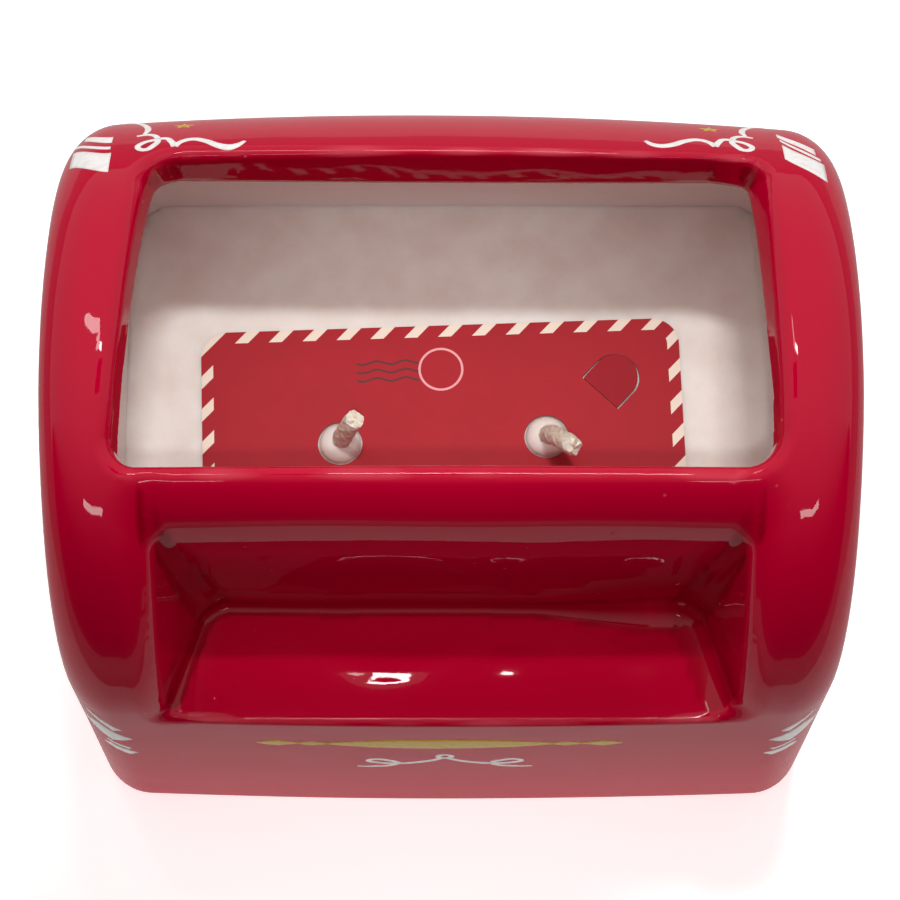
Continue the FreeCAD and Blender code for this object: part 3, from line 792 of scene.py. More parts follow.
    def chute(self, p: np.ndarray) -> np.ndarray:
        """Distances to the letter chute, whose side walls lean out and whose floor crests behind the lip."""
        x, y, z = p.T
        out = np.clip((self.chute_back - y) / (self.half_depth + self.chute_back), -0.3, 1.4)
        up = np.clip((z - self.chute_floor) / self.chute_height, -0.1, 1.3)
        low, high = (half + widening * out for half, widening in (self.chute_low, self.chute_high))
        sides = (np.abs(x) - low - (high - low) * up) * self.side_cosine
        lean = self.back_lean * np.clip((z - self.lean_start) / self.lean_rise, 0, 1.3) ** 2
        back = y - self.chute_back - lean + self.back_ripple * waves(p, self.back_ripple_length, 11)
        bed = self.chute_floor + self.chute_fall * out + self.bed_ripple * waves(p, self.bed_ripple_length, 5)
        for place_x, place_y, long, wide, height in self.swells:
            crest = y - place_y - self.crest_bow * (x - place_x) ** 2
            bed = bed + height * np.exp(-((x - place_x) / long) ** 2 - (crest / wide) ** 2)
        corner = self.chute_corner - (z - self.corner_start) / self.corner_run
        corner = np.clip(corner, self.tight_corner, self.chute_corner)
        root = self.root[0] + self.root[1] * ramp(x, *self.root_span)
        return rounded_max(rounded_max(back, sides, corner), bed - z, root)

    def form(self, p: np.ndarray) -> np.ndarray:
        """Distances to the whole vessel."""
        x, y, z = p.T
        cavity = rounded_min(self.hollow(p), self.mouth(p), self.mouth_fillet)
        rim = self.rim - (self.rim - self.sharp_rim) * ramp(y, *self.sharp_along) * ramp(x, *self.sharp_across)
        shell = rounded_max(self.outer(p), -cavity, rim)
        soft = np.clip(self.lip_round + (z - self.lip_level) / self.lip_run, self.lip_round, self.chute_round)
        soft = soft + self.flare * ramp(np.abs(x), *self.flare_span)
        shell = rounded_max(shell, -self.chute(p), soft)
        recess = rounded_box(x, y, self.half_width - self.foot_margin, self.half_depth - self.foot_margin,
                             self.foot_corner)
        return rounded_max(shell, -np.maximum(recess, z - self.foot_rise), self.foot_edge)

    def build(self) -> bpy.types.Object:
        """Skin the form, mark glaze lining, edges and foot on it, and dress it.

        Returns:
            The vessel, riding in place of its solid.
        """
        # The net is finer at the rim's rear and sides and at the foot.
        lines = (spaced((-56.6, 1.1), (-46.4, 0.6), (-41.6, 1.1), (41.0, 0.6), (45.8, 1.1), (56.6, 1)),
                 spaced((-45.6, 1.1), (25.0, 0.6), (31.0, 1.1), (45.6, 1)),
                 spaced((-1.2, 0.6), (4.2, 1.7), (44.0, 1.0), (103.2, 1)))
        points, faces = surface_net(self.form, lines)
        normals = slope(self.form, points)
        normals /= np.linalg.norm(normals, axis=1)[:, None]
        curve = bend(self.form, points)
        foot = ramp(points[:, 2], *self.bare_span)
        lining = np.maximum(self.hollow(points), self.liner_front - points[:, 1])
        piece = mesh_piece("glazed_vessel", points, faces, self.glaze.build(), normals,
                           lining=lining, edge=np.clip(curve, -1, 1), foot=foot)
        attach(piece, Body.VESSEL)
        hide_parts("ceramic_body")
        return piece


@dataclass
class WaxFill:
    """Poured wax with a climbing rim at the walls and a dome round each wick."""

    vessel: Vessel
    level: float = 48.98
    gap: float = -0.3
    climb: float = 1.1
    dome_radius: float = 3.05
    dome_height: float = 2.4
    ripple: float = 0.03
    ripple_length: float = 18.0
    climb_reach: float = 1.3
    dome_ease: float = 0.25
    edge: float = 0.15
    front_gap: float = 0.2
    shelf_drop: float = 2.0
    no_wall: float = -50.0
    wicks: tuple[tuple[float, float], ...] = WICK_PLACES
    wax: CandleWax = field(default_factory=CandleWax)

    def form(self, p: np.ndarray) -> np.ndarray:
        """Distances to the wax."""
        x, y, z = p.T
        room = self.vessel.hollow(p) + self.gap
        front = self.vessel.mouth_front + self.front_gap - y
        room = np.maximum(room, np.where(z > self.vessel.shelf_under - self.shelf_drop, front, self.no_wall))
        wall = np.minimum(np.minimum(self.vessel.hollow_half - np.abs(x), self.vessel.hollow_radius - y),
                          y - self.vessel.mouth_front)
        top = self.level + self.climb * np.exp(-np.maximum(wall, 0) / self.climb_reach)
        top = top + self.ripple * waves(p, self.ripple_length, 9)
        for wick_x, wick_y in self.wicks:
            away = np.hypot(x - wick_x, y - wick_y) / self.dome_radius
            ease = np.clip(1 + self.dome_ease - self.dome_ease * away, 0, 1)
            top = top + self.dome_height * np.sqrt(np.clip(1 - away ** 2, 0, 1)) * ease
        return rounded_max(room, z - top, self.edge)

    def build(self) -> bpy.types.Object:
        """Skin the wax and dress it.

        Returns:
            The wax, riding in place of its solid.
        """
        # The net is finer round the wicks.
        lines = (spaced((-48.6, 1.3), (-20.2, 0.28), (-12.2, 1.3), (10.0, 0.28), (18.0, 1.3), (48.6, 1)),
                 spaced((-37.6, 1.3), (-4.6, 0.28), (4.6, 1.3), (37.6, 1)),
                 spaced((6.2, 0.8), (14.0, 2.4), (44.0, 0.6), (48.0, 0.28), (52.2, 1)))
        points, faces = surface_net(self.form, lines, relax=2)
        piece = mesh_piece("wax_pool", points, faces, self.wax.build())
        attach(piece, Body.VESSEL)
        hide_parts("wax_fill")
        return piece


def grown(source: bpy.types.Object, tree: bpy.types.NodeTree, name: str,
          sizes: dict[str, Any]) -> bpy.types.Object:
    """Run a geometry tree on an object and keep the result as a plain mesh.

    Args:
        source: Object that carries the path or the flat shape; it is removed.
        tree: The geometry tree.
        name: Name for the piece.
        sizes: Input name to value.

    Returns:
        A mesh object at the origin with no modifier.
    """
    modifier = source.modifiers.new("grow", "NODES")
    modifier.node_group = tree
    for socket in tree.interface.items_tree:
        if socket.in_out == "INPUT" and socket.name in sizes:
            modifier[socket.identifier] = sizes[socket.name]
    view = bpy.context.evaluated_depsgraph_get()
    mesh = bpy.data.meshes.new_from_object(source.evaluated_get(view), depsgraph=view)
    mesh.name = name
    source.modifiers.remove(modifier)
    bpy.data.objects.remove(source)
    return in_scene(name, mesh)


@dataclass
class Wick:
    """Braided wick that stands in the wax, bends above its dome and ends in a cut tip."""

    name: str
    base: tuple[float, float]
    lean: float
    free: float
    heading: float
    start: float = 8.0
    rise: float = 51.4
    bend: float = 5.0
    radius: float = 1.5
    strands: int = 8
    turns: float = 5.0
    samples: int = 150
    ring: float = 0.54
    lift: float = 0.04
    ply: float = 0.42
    core: float = 0.9
    ragged: float = 0.988
    core_end: float = 0.992
    strand_sides: int = 8
    core_sides: int = 14
    straight: float = 8.0

    def route(self) -> bpy.types.Object:
        """Smooth path of the wick's middle, as a curve object."""
        lean, heading = math.radians(self.lean), math.radians(self.heading)
        elbow = self.rise + self.bend * math.tan(lean / 2)
        reach = self.bend * math.tan(lean / 2) + self.free
        stops = [(0.0, self.start), (0.0, self.rise - self.straight), (0.0, elbow),
                 (reach * math.sin(lean), elbow + reach * math.cos(lean))]
        curve = bpy.data.curves.new(self.name + "_route", "CURVE")
        curve.dimensions = "3D"
        spline = curve.splines.new("NURBS")
        spline.points.add(len(stops) - 1)
        for point, (out, up) in zip(spline.points, stops):
            x = self.base[0] + out * math.cos(heading)
            y = self.base[1] + out * math.sin(heading)
            point.co = (x * MM, y * MM, up * MM, 1.0)
        spline.order_u = 3
        spline.use_endpoint_u = True
        spline.resolution_u = 24
        return in_scene(self.name + "_route", curve)

    def braid(self) -> bpy.types.NodeTree:
        """Tree that lays strands round the path in two opposed turns over a core.

        Returns:
            A geometry tree with named sizes.
        """
        tree = geometry_tree(self.name + "_braid", Path="Geometry", Radius="Float", Strands="Int", Turns="Float",
                             Finish="Material")
        add = partial(add_node, tree)
        given = add("NodeGroupInput")
        radius = given.outputs["Radius"]
        smooth = add("GeometryNodeResampleCurve", {"Curve": given.outputs["Path"], "Count": self.samples})
        share = add("GeometryNodeSplineParameter").outputs["Factor"]
        marked = add("GeometryNodeStoreNamedAttribute", {"Geometry": smooth, "Name": "along", "Value": share})
        copies = add("GeometryNodeDuplicateElements", {"Geometry": marked, "Amount": given.outputs["Strands"]},
                     domain="SPLINE")
        number = copies.outputs["Duplicate Index"]
        parity = add("ShaderNodeMath", {0: number, 1: 2.0}, operation="MODULO")
        way = add("ShaderNodeMath", {0: parity, 1: 2.0, 2: -1.0}, operation="MULTIPLY_ADD")
        spun = add("ShaderNodeMath", {0: share, 1: given.outputs["Turns"]}, operation="MULTIPLY")
        twist = add("ShaderNodeMath", {0: spun, 1: way}, operation="MULTIPLY")
        slot = add("ShaderNodeMath", {0: number, 1: given.outputs["Strands"]}, operation="DIVIDE")
        part = add("ShaderNodeMath", {0: slot, 1: twist}, operation="ADD")
        angle = add("ShaderNodeMath", {0: part, 1: 2 * math.pi}, operation="MULTIPLY")
        weave = add("ShaderNodeMath", {0: angle, 1: float(self.strands) / 2}, operation="MULTIPLY")
        over = add("ShaderNodeMath", {0: weave}, operation="SINE")
        lift = add("ShaderNodeMath", {0: over, 1: way}, operation="MULTIPLY")
        ring = add("ShaderNodeMath", {0: lift, 1: self.lift, 2: self.ring}, operation="MULTIPLY_ADD")
        reach = add("ShaderNodeMath", {0: ring, 1: radius}, operation="MULTIPLY")
        normal = add("GeometryNodeInputNormal").outputs[0]
        tangent = add("GeometryNodeInputTangent").outputs[0]
        turned = add("ShaderNodeVectorRotate", {"Vector": normal, "Axis": tangent, "Angle": angle})
        offset = add("ShaderNodeVectorMath", {0: turned, "Scale": reach}, operation="SCALE")
        uneven = add("FunctionNodeRandomValue", {2: self.ragged, 3: 1.0, "ID": number, "Seed": 4})
        laid = add("GeometryNodeSetPosition", {"Geometry": copies, "Offset": offset})
        cut = add("GeometryNodeTrimCurve", {"Curve": laid, 3: uneven.outputs[1]})
        ply = add("ShaderNodeMath", {0: radius, 1: self.ply}, operation="MULTIPLY")
        heart = add("ShaderNodeMath", {0: radius, 1: self.core}, operation="MULTIPLY")
        profile = add("GeometryNodeCurvePrimitiveCircle", {"Resolution": self.strand_sides, "Radius": 1.0})
        core_profile = add("GeometryNodeCurvePrimitiveCircle", {"Resolution": self.core_sides, "Radius": 1.0})
        strand = add("GeometryNodeCurveToMesh", {"Curve": cut, "Profile Curve": profile, "Scale": ply,
                                                 "Fill Caps": True})
        short = add("GeometryNodeTrimCurve", {"Curve": marked, 3: self.core_end})
        core = add("GeometryNodeCurveToMesh", {"Curve": short, "Profile Curve": core_profile, "Scale": heart,
                                               "Fill Caps": True})
        both = add("GeometryNodeJoinGeometry", {0: strand})
        feed(tree, both, {0: core})
        close_tree(tree, both, given.outputs["Finish"])
        return tree

    def build(self, material: bpy.types.Material) -> bpy.types.Object:
        """Braid the wick along its path.

        Args:
            material: Finish shared by both wicks.

        Returns:
            The wick, riding in place of its solid.
        """
        piece = grown(self.route(), self.braid(), self.name + "_braid",
                      {"Radius": self.radius * MM, "Strands": self.strands, "Turns": self.turns, "Finish": material})
        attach(piece, Body.VESSEL)
        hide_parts(self.name)
        return piece


@dataclass(frozen=True)
class Enamel:
    """On-glaze transfer: opaque enamel or ochre gold, fired satin, a little uneven where the print is thin."""

    name: str
    colour: str
    thin: str
    mottle: float = 1.2
    relief: float = 0.006
    cover_span: tuple[float, float] = (0.45, 0.8)
    sheen: tuple[float, float] = (0.3, 0.45)

    def build(self) -> bpy.types.Material:
        """Material for one colour of transfer."""
        material, tree, shader = new_material(self.name)
        add = partial(add_node, tree)
        place = add("ShaderNodeTexCoord").outputs["Object"]
        cover = add("ShaderNodeTexNoise", {"Vector": place, "Scale": 1 / (self.mottle * MM)})
        blend = add("ShaderNodeMapRange", {"Value": cover, **spans(self.cover_span)})
        tint = add("ShaderNodeMix", {"Factor": blend, COLOUR_A: linear(self.colour), COLOUR_B: linear(self.thin)},
                   data_type="RGBA")
        rough = add("ShaderNodeMapRange", {"Value": cover, **spans(target=self.sheen)})
        skin = add("ShaderNodeBump", {"Height": cover, "Distance": self.relief * MM})
        feed(tree, shader, {"Base Color": tint.outputs[MIXED], "Roughness": rough, "Normal": skin})
        return material


Stroke = tuple[tuple[float, float, float], ...]


def moved(stroke: Stroke, across: float = 0.0, along: float = 0.0, side: int = 1) -> Stroke:
    """Shift a stroke across and along the surface, and first mirror it where side is -1."""
    return tuple((side * x + across, s + along, w) for x, s, w in stroke)


@dataclass
class Transfers:
    """Ornaments printed on the glaze: bars at the corners, scrolls, stars and a swelled rule.

    A stroke is a row of places on the unrolled outside, each with its distance across, its distance
    along the surface from the crown, which is positive to the rear, and half of the line's width. A rear
    bar has three stations, each with its distance across and its two edges along the surface.
    """

    vessel: Vessel
    shell: bpy.types.Object
    rule_along: float = -83.8
    star_places: tuple[float, float] = (-37.4, 36.2)
    star_along: float = 43.4
    star_radius: float = 1.5
    rule_shift: float = -1.6
    scroll_shift: tuple[float, float] = (-1.6, 0.8)
    front_shift: float = -0.9
    spacing: float = 0.35
    thickness: float = 0.05
    bar_grid: tuple[int, int] = (13, 9)
    rear_bars: tuple[Stroke, ...] = (
        ((-46.65, 27.4, 32.9), (-49.45, 28.8, 34.0), (-52.5, 32.6, 39.0)),
        ((-46.9, 34.2, 35.1), (-50.0, 36.0, 37.0), (-52.7, 42.1, 43.5)),
        ((-46.9, 36.7, 39.1), (-49.0, 37.6, 40.0), (-51.2, 41.4, 44.0)),
        ((45.8, 32.0, 37.3), (48.5, 29.2, 33.9), (51.35, 27.7, 33.3)),
        ((45.7, 38.9, 39.8), (48.3, 35.0, 35.9), (51.0, 33.9, 34.8)),
        ((45.5, 40.9, 43.0), (48.0, 37.2, 39.4), (50.4, 35.6, 38.0)))

    def corner_strokes(self) -> list[Stroke]:
        """White bars at the front right-hand corner."""
        return [((51.2, -72.8, 0.5), (49.4, -76.0, 0.65), (47.7, -79.3, 0.75)),
                ((51.6, -79.5, 2.0), (49.6, -82.8, 2.0), (47.6, -85.8, 2.0)),
                ((50.0, -88.0, 0.4), (46.9, -91.0, 0.4)), ((50.2, -90.8, 0.9), (46.6, -94.3, 0.9))]

    def scroll_strokes(self) -> list[Stroke]:
        """White scroll at the rear right-hand corner."""
        return [((42.6, 39.6, 0.25), (42.3, 41.9, 0.45), (43.6, 47.0, 0.42), (46.0, 52.6, 0.42),
                 (45.4, 58.4, 0.4), (42.0, 60.6, 0.3)),
                ((43.6, 38.8, 0.2), (41.8, 39.2, 0.4), (40.5, 36.5, 0.42), (41.0, 34.6, 0.45), (42.1, 33.3, 0.45),
                 (43.1, 34.1, 0.42), (42.5, 35.8, 0.38), (40.9, 36.8, 0.35), (39.5, 37.2, 0.4), (38.6, 35.8, 0.45),
                 (38.0, 34.1, 0.5)),
                ((38.0, 34.1, 0.45), (37.2, 35.6, 0.45), (35.7, 36.4, 0.5), (34.0, 35.6, 0.55), (32.1, 33.9, 0.6),
                 (30.5, 33.3, 0.6), (29.3, 33.7, 0.5), (28.4, 34.9, 0.25))]

    def front_strokes(self) -> list[Stroke]:
        """Right-hand half of the white scroll on the front face, and the ring in its middle."""
        turn = [math.radians(30 * step) for step in range(13)]
        return [((0.4, -93.7, 0.4), (1.6, -95.0, 0.42), (4.4, -96.8, 0.45), (7.4, -97.5, 0.45), (10.0, -96.9, 0.42),
                 (11.3, -95.6, 0.4), (10.4, -94.6, 0.4), (8.4, -95.3, 0.42), (7.0, -97.1, 0.45), (8.0, -98.8, 0.42),
                 (10.4, -99.6, 0.38), (13.0, -99.7, 0.2)),
                tuple((1.0 * math.sin(a), -92.6 + 1.1 * math.cos(a), 0.4) for a in turn)]

    def gold_strokes(self) -> list[Stroke]:
        """Swelled rule with beads and pointed ends across the front, and a star at each rear corner."""
        half = ((0.0, 3.0), (5.0, 2.8), (10.0, 2.1), (14.0, 1.2), (16.3, 0.35), (17.4, 0.9), (18.4, 1.2), (19.4, 0.9),
                (20.4, 0.3), (21.6, 0.8), (23.4, 1.6), (25.0, 1.1), (26.4, 0.15))
        right = tuple((x, self.rule_along, w) for x, w in half)
        rule = moved(right[:0:-1], side=-1) + right
        spokes = [math.radians(18 + 72 * step) for step in range(5)]
        stars = [((x, self.star_along, 0.55), (x + self.star_radius * math.cos(a),
                                               self.star_along + self.star_radius * math.sin(a), 0.04))
                 for x in self.star_places for a in spokes]
        return [moved(rule, self.rule_shift), *stars]

    def on_shell(self, x: np.ndarray, along: np.ndarray) -> np.ndarray:
        """Places on the outside form.

        Args:
            x: Distances across.
            along: Distances along the surface from the crown, positive to the rear.

        Returns:
            One place in millimetres for each pair.
        """
        quarter = self.vessel.half_depth * math.pi / 2
        angle = np.minimum(np.abs(along), quarter) / self.vessel.half_depth
        drop = np.maximum(np.abs(along) - quarter, 0)
        way = np.stack([0 * x, np.sign(along) * np.sin(angle), np.cos(angle)], axis=1)
        places = way * self.vessel.half_depth + np.stack([x, 0 * x, self.vessel.spring - drop], axis=1)
        return settle(self.vessel.outer, places, 24, way)

    def bars(self, material: bpy.types.Material) -> bpy.types.Object:
        """Lay the slanted bars of the rear corners, which run out over the rounded edge.

        Args:
            material: Their finish.

        Returns:
            One mesh of closed patches, riding on the vessel.
        """
        shares = (np.linspace(0, 1, count) for count in self.bar_grid)
        across, over = (grid.ravel() for grid in np.meshgrid(*shares, indexing="ij"))
        cell = np.arange(math.prod(self.bar_grid)).reshape(self.bar_grid)
        top = np.stack([cell[:-1, :-1], cell[1:, :-1], cell[1:, 1:], cell[:-1, 1:]], axis=-1).reshape(-1, 4)
        border = np.concatenate([cell[:, 0], cell[-1, 1:], cell[-2::-1, -1], cell[0, -2:0:-1]])
        wall = np.stack([border, border + cell.size, np.roll(border, -1) + cell.size, np.roll(border, -1)], axis=1)
        points, faces = [], []
        for number, stations in enumerate(self.rear_bars):
            x, low, high = (np.polyval(np.polyfit((0, 0.5, 1), part, 2), across) for part in np.array(stations).T)
            base = self.on_shell(x, low + (high - low) * over)
            proud = slope(self.vessel.outer, base) * self.thickness
            turned = (top, top[:, ::-1] + cell.size, wall)
            flip = 1 if x[-1] > x[0] else -1
            points.append(np.concatenate([base + proud, base - 0.5 * proud]))
            faces.append(np.concatenate([part[:, ::flip] for part in turned]) + 2 * cell.size * number)
        piece = mesh_piece("corner_bars", np.concatenate(points), np.concatenate(faces), material)
        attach(piece, Body.VESSEL)
        return piece

    def paths(self, name: str, strokes: Sequence[Stroke]) -> bpy.types.Object:
        """Lay the middle lines of some strokes on the outside form.

        Args:
            name: Name for the curve.
            strokes: The strokes.

        Returns:
            A curve object with a smooth spline for each stroke.
        """
        curve = bpy.data.curves.new(name, "CURVE")
        curve.dimensions = "3D"
        for stroke in strokes:
            x, along, half = np.array(stroke).T
            places = self.on_shell(x, along)
            spline = curve.splines.new("BEZIER")
            spline.bezier_points.add(len(places) - 1)
            for point, place, width in zip(spline.bezier_points, places, half):
                point.co = (place * MM).tolist()
                point.radius = width * MM
                point.handle_left_type = point.handle_right_type = "AUTO"
        return in_scene(name, curve)

    def laid_stroke(self) -> bpy.types.NodeTree:
        """Tree that lays flat strokes of enamel along paths on a shell.

        Returns:
            A geometry tree with named sizes.
        """
        tree = geometry_tree("laid_stroke", Paths="Geometry", Shell="Object", Spacing="Float", Thickness="Float",
                             Finish="Material")
        add = partial(add_node, tree)
        given = add("NodeGroupInput")
        shell = add("GeometryNodeObjectInfo", {"Object": given.outputs["Shell"]}).outputs["Geometry"]
        nearest = add("GeometryNodeProximity", {0: shell}).outputs["Position"]
        facing = add("GeometryNodeInputNormal").outputs[0]
        upright = add("GeometryNodeSampleNearestSurface", {"Mesh": shell, "Value": facing},
                      data_type="FLOAT_VECTOR").outputs["Value"]
        dense = add("GeometryNodeResampleCurve", {"Curve": given.outputs["Paths"],
                                                  "Length": given.outputs["Spacing"]}, mode="LENGTH")
        snapped = add("GeometryNodeSetPosition", {"Geometry": dense, "Position": nearest})
        turned = add("GeometryNodeSetCurveNormal", {"Curve": snapped, "Normal": upright}, mode="FREE")
        frame_line = add("GeometryNodeCurvePrimitiveQuadrilateral", {"Width": 0.2, "Height": 2.0})
        cut = add("GeometryNodeSubdivideCurve", {"Curve": frame_line, "Cuts": 3})
        place = add("GeometryNodeInputPosition").outputs[0]
        depth = add("ShaderNodeSeparateXYZ", {0: place})
        level = add("ShaderNodeMath", {0: depth, 1: 5.0, 2: 0.5}, operation="MULTIPLY_ADD")
        profile = add("GeometryNodeStoreNamedAttribute", {"Geometry": cut, "Name": "level", "Value": level})
        half = add("GeometryNodeInputRadius").outputs[0]
        ribbon = add("GeometryNodeCurveToMesh", {"Curve": turned, "Profile Curve": profile, "Scale": half,
                                                 "Fill Caps": True})
        stored = add("GeometryNodeInputNamedAttribute", {"Name": "level"})
        raised = add("ShaderNodeMath", {0: stored, 1: 1.5, 2: -0.5}, operation="MULTIPLY_ADD")
        proud = add("ShaderNodeMath", {0: raised, 1: given.outputs["Thickness"]}, operation="MULTIPLY")
        lift = add("ShaderNodeVectorMath", {0: upright, "Scale": proud}, operation="SCALE")
        seated = add("GeometryNodeSetPosition", {"Geometry": ribbon, "Position": nearest, "Offset": lift})
        close_tree(tree, seated, given.outputs["Finish"])
        return tree

    def build(self) -> list[bpy.types.Object]:
        """Print both colours on the shell.

        Returns:
            The bars, the white and the gold transfers, riding on the vessel.
        """
        corners, scrolls = self.corner_strokes(), self.scroll_strokes()
        corners += [moved(stroke, side=-1) for stroke in corners + scrolls]
        corners += [moved(stroke, *self.scroll_shift) for stroke in scrolls]
        scroll, ring = self.front_strokes()
        front = [moved(stroke, self.front_shift) for stroke in (scroll, moved(scroll, side=-1), ring)]
        tree = self.laid_stroke()
        white = Enamel("white_enamel_transfer", "#F6F3F0", "#EBDDD9").build()
        gold = Enamel("gold_enamel_transfer", "#D9B044", "#C79A3C").build()
        pieces = [self.bars(white)]
        for name, strokes, finish in (("white_transfers", corners + front, white),
                                      ("gold_transfers", self.gold_strokes(), gold)):
            piece = grown(self.paths(name + "_paths", strokes), tree, name,
                          {"Shell": self.shell, "Spacing": self.spacing * MM, "Thickness": self.thickness * MM,
                           "Finish": finish})
            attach(piece, Body.VESSEL)
            pieces.append(piece)
        return pieces


@dataclass
class DustCard:
    """Loose printed card on the wax with its die-cut pull tab, and the fittings under the wax."""

    def build(self) -> None:
        """Dress the card, the tab and the hidden fittings, which keep their solids."""
        # Both grains are coarser than real ones, so that they show.
        tin = PlainFinish("tinned_steel_sheet", "#B9BBBD", 0.6, 0.004, 0.32, 1.0).build()
        foam = PlainFinish("adhesive_foam", "#E9E6DF", 0.4, 0.03, 0.85).build()
        # The pull tab's red is darker than the card's, which paints shade on the tab.
        finishes = {"dust_cover": PrintedCard().build(), "lift_tab": PrintedCard(red="#9E222C", marked=False).build(),
                    "wick_tab_left": tin, "wick_tab_right": tin,
                    "wick_sticker_left": foam, "wick_sticker_right": foam}
        for node, material in finishes.items():
            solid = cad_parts[node]
            solid.data.materials.clear()
            solid.data.materials.append(material)


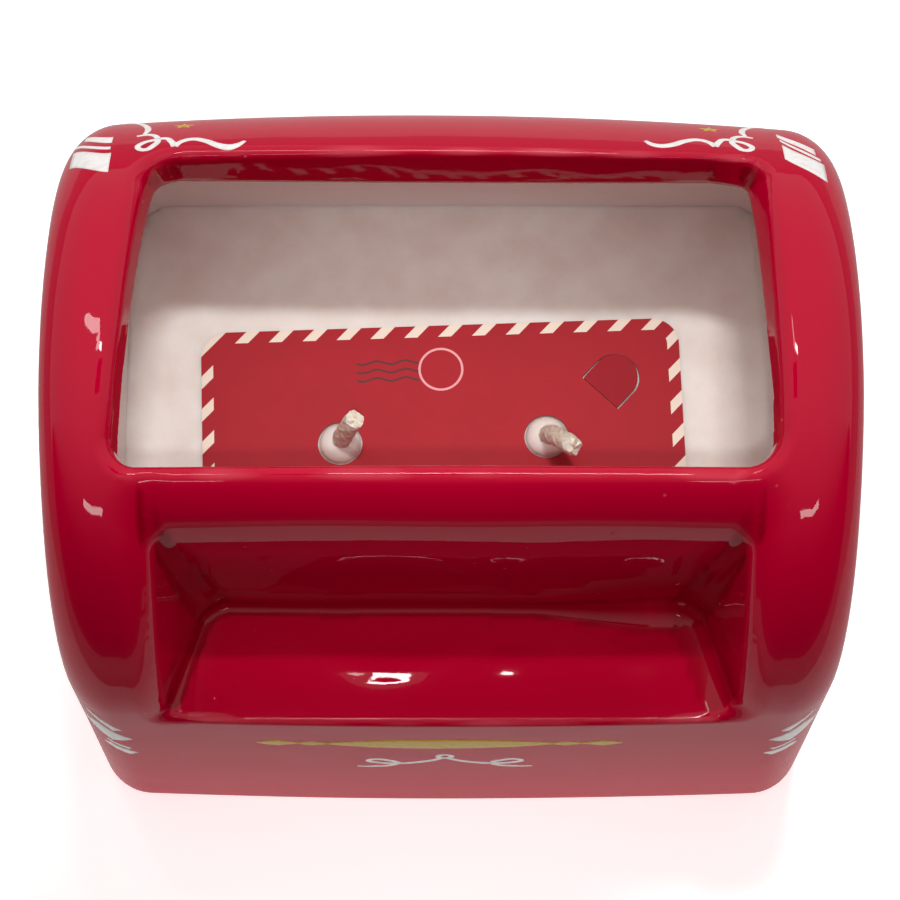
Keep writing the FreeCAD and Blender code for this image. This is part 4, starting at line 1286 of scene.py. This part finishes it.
@dataclass
class Studio:
    """White table, overhead lamps, flags, soft surround and the camera above the front."""

    focal: float = 132.0
    camera_place: tuple[float, float, float] = (-0.00014, -0.1425, 0.5106)
    camera_pitch: float = 17.0
    sensor: float = 36.0
    surround_span: tuple[float, float] = (88.0, 166.0)
    surround_light: float = 0.64
    pool_distance: float = 550.0
    pool_softness: float = 0.008
    # Coarser than real paper grain, so that it shows.
    paper_grain: float = 3.0
    paper_sheen: tuple[float, float] = (0.75, 0.85)

    def surround(self) -> None:
        """Soft light from above and behind that falls off to the front."""
        world = bpy.data.worlds.new("soft_surround")
        world.use_nodes = True
        bpy.context.scene.world = world
        tree = world.node_tree
        tree.nodes.clear()
        add = partial(add_node, tree)
        place = add("ShaderNodeTexCoord").outputs["Generated"]
        axes = add("ShaderNodeSeparateXYZ", {0: place})
        height = add("ShaderNodeMath", {0: axes.outputs["Z"]}, operation="ABSOLUTE")
        angle = add("ShaderNodeMath", {0: height, 1: axes.outputs["Y"]}, operation="ARCTAN2")
        limits = spans(tuple(map(math.radians, self.surround_span)), (self.surround_light, 0.0))
        fall = add("ShaderNodeMapRange", {"Value": angle, **limits}, interpolation_type="SMOOTHSTEP")
        glow = add("ShaderNodeBackground", {"Color": (1, 1, 1, 1), "Strength": fall})
        add("ShaderNodeOutputWorld", {"Surface": glow})

    def lamp(self, data: bpy.types.Light, place: tuple[float, float, float], power: float,
             mirrored: bool = True, lighting: bool = True, aim: tuple[float, float, float] = (0.0, 0.0, 0.06)) -> None:
        """Hang a lamp so that it faces the candle.

        Args:
            data: The lamp, with its kind and size.
            place: Its place in metres.
            power: Its power in watts.
            mirrored: Whether glossy surfaces reflect it.
            lighting: Whether it lights matte colour.
            aim: Place that it points at, in metres.
        """
        data.energy = power
        lamp = in_scene(data.name, data)
        lamp.location = place
        x, y, z = np.array(aim) - np.array(place)
        lamp.rotation_euler = (math.atan2(math.hypot(x, y), -z), 0.0, math.atan2(-x, y))
        lamp.visible_glossy = mirrored
        lamp.visible_diffuse = lighting

    def softbox(self, name: str, width: float, height: float) -> bpy.types.Light:
        """Flat lamp of a given width and height in metres."""
        data = bpy.data.lights.new(name, "AREA")
        data.shape = "RECTANGLE"
        data.size, data.size_y = width, height
        return data

    def pool(self, name: str, radius: float) -> bpy.types.Light:
        """Soft round spot whose light fades to nothing at a radius in millimetres, at its usual distance."""
        data = bpy.data.lights.new(name, "SPOT")
        data.spot_size = 2 * math.atan(radius / self.pool_distance)
        data.spot_blend = 1.0
        data.shadow_soft_size = self.pool_softness
        return data

    def lamps(self) -> None:
        """Overhead key and glint, a long box over the left edge, strips in front and pools from the camera's side."""
        self.lamp(self.softbox("overhead_lamp", 0.14, 0.06), (0.05, 0.22, 1.1), 5.0, mirrored=False)
        self.lamp(self.softbox("overhead_glint", 0.26, 0.055), (0.03, 0.22, 1.1), 1.65, lighting=False)
        self.lamp(self.softbox("overhead_box", 0.05, 0.3), (-0.23, 0.33, 1.05), 0.5)
        self.lamp(self.softbox("front_strip_left", 0.28, 0.05), (-0.27, -0.75, 0.72), 0.4, lighting=False)
        self.lamp(self.softbox("front_strip_right", 0.28, 0.05), (0.27, -0.75, 0.72), 0.4, lighting=False)
        self.lamp(self.pool("centre_pool", 40), (-0.004, -0.14, 0.576), 0.8, mirrored=False, aim=(-0.004, 0.021, 0.05))
        self.lamp(self.pool("front_pool", 78), (0.0, -0.191, 0.581), 3.1, mirrored=False, aim=(0.0, -0.03, 0.055))

    def sheet(self, name: str, level: float, half: float, front: float, rear: float, colour: str,
              glow: float = 0.0) -> bpy.types.Object:
        """Lay a plain matte sheet level.

        Args:
            name: Name of the sheet.
            level: Its height in millimetres.
            half: Half of its width in millimetres.
            front: Place of its front edge in millimetres.
            rear: Place of its rear edge in millimetres.
            colour: Its colour.
            glow: Light that it adds of its own.

        Returns:
            The sheet.
        """
        material, tree, shader = new_material(name + "_paper")
        add = partial(add_node, tree)
        place = add("ShaderNodeTexCoord").outputs["Object"]
        grain = add("ShaderNodeTexNoise", {"Vector": place, "Scale": 1 / (self.paper_grain * MM)})
        rough = add("ShaderNodeMapRange", {"Value": grain, **spans(target=self.paper_sheen)})
        feed(tree, shader, {"Roughness": rough, "Specular IOR Level": 0.1, "Base Color": linear(colour),
                            "Emission Color": (1, 1, 1, 1), "Emission Strength": glow})
        points = np.array([(-half, front, level), (half, front, level), (half, rear, level), (-half, rear, level)])
        sheet = mesh_piece(name, points, [(0, 1, 2, 3)], material)
        return sheet

    def table(self) -> None:
        """White sheet for the eye, one that bounces light, a grey one for the glaze to mirror, and two flags."""
        sheets = ((self.sheet("white_table", -0.05, 3000, -3000, 3000, "#F7F6F4", 0.5), "camera"),
                  (self.sheet("bounce_sheet", -0.2, 220, -110, 220, "#F7F6F4", 1.0), "diffuse"),
                  (self.sheet("grey_table", -0.4, 900, -185, 900, "#8A8887"), "glossy"),
                  (self.sheet("front_flag", 300, 46, -35, 25, "#202020"), "shadow"),
                  (self.sheet("lip_flag", 301, 42, -35, 22, "#202020"), "glossy"))
        for sheet, use in sheets:
            for ray in ("camera", "diffuse", "glossy", "transmission", "shadow"):
                setattr(sheet, "visible_" + ray, ray == use)

    def camera(self) -> None:
        """Camera above the front edge, looking steeply down into the crown opening."""
        data = bpy.data.cameras.new("front_high")
        data.lens = self.focal
        data.sensor_width = self.sensor
        camera = in_scene("front_high", data)
        camera.location = self.camera_place
        camera.rotation_euler = (math.radians(self.camera_pitch), 0.0, 0.0)
        bpy.context.scene.camera = camera

    def build(self) -> None:
        """Set up surround, lamps, table and camera."""
        self.surround()
        self.table()
        self.lamps()
        self.camera()
        bpy.context.scene.view_settings.view_transform = "Standard"


def main() -> None:
    """Build the candle piece by piece, then the studio round it."""
    logging.basicConfig(level=logging.INFO, format="%(message)s")
    vessel = Vessel()
    shell = vessel.build()
    for piece in (shell, WaxFill(vessel).build(), *Transfers(vessel, shell).build()):
        LOG.info("%s: %d faces", piece.name, len(piece.data.polygons))
    cotton = WaxedCotton().build()
    left, right = WICK_PLACES
    for wick in (Wick("wick_left", left, 24.0, 5.6, 22.0), Wick("wick_right", right, 54.0, 4.6, 311.0)):
        LOG.info("%s: %d faces", wick.name, len(wick.build(cotton).data.polygons))
    DustCard().build()
    Studio().build()


if __name__ == "__main__":
    main()
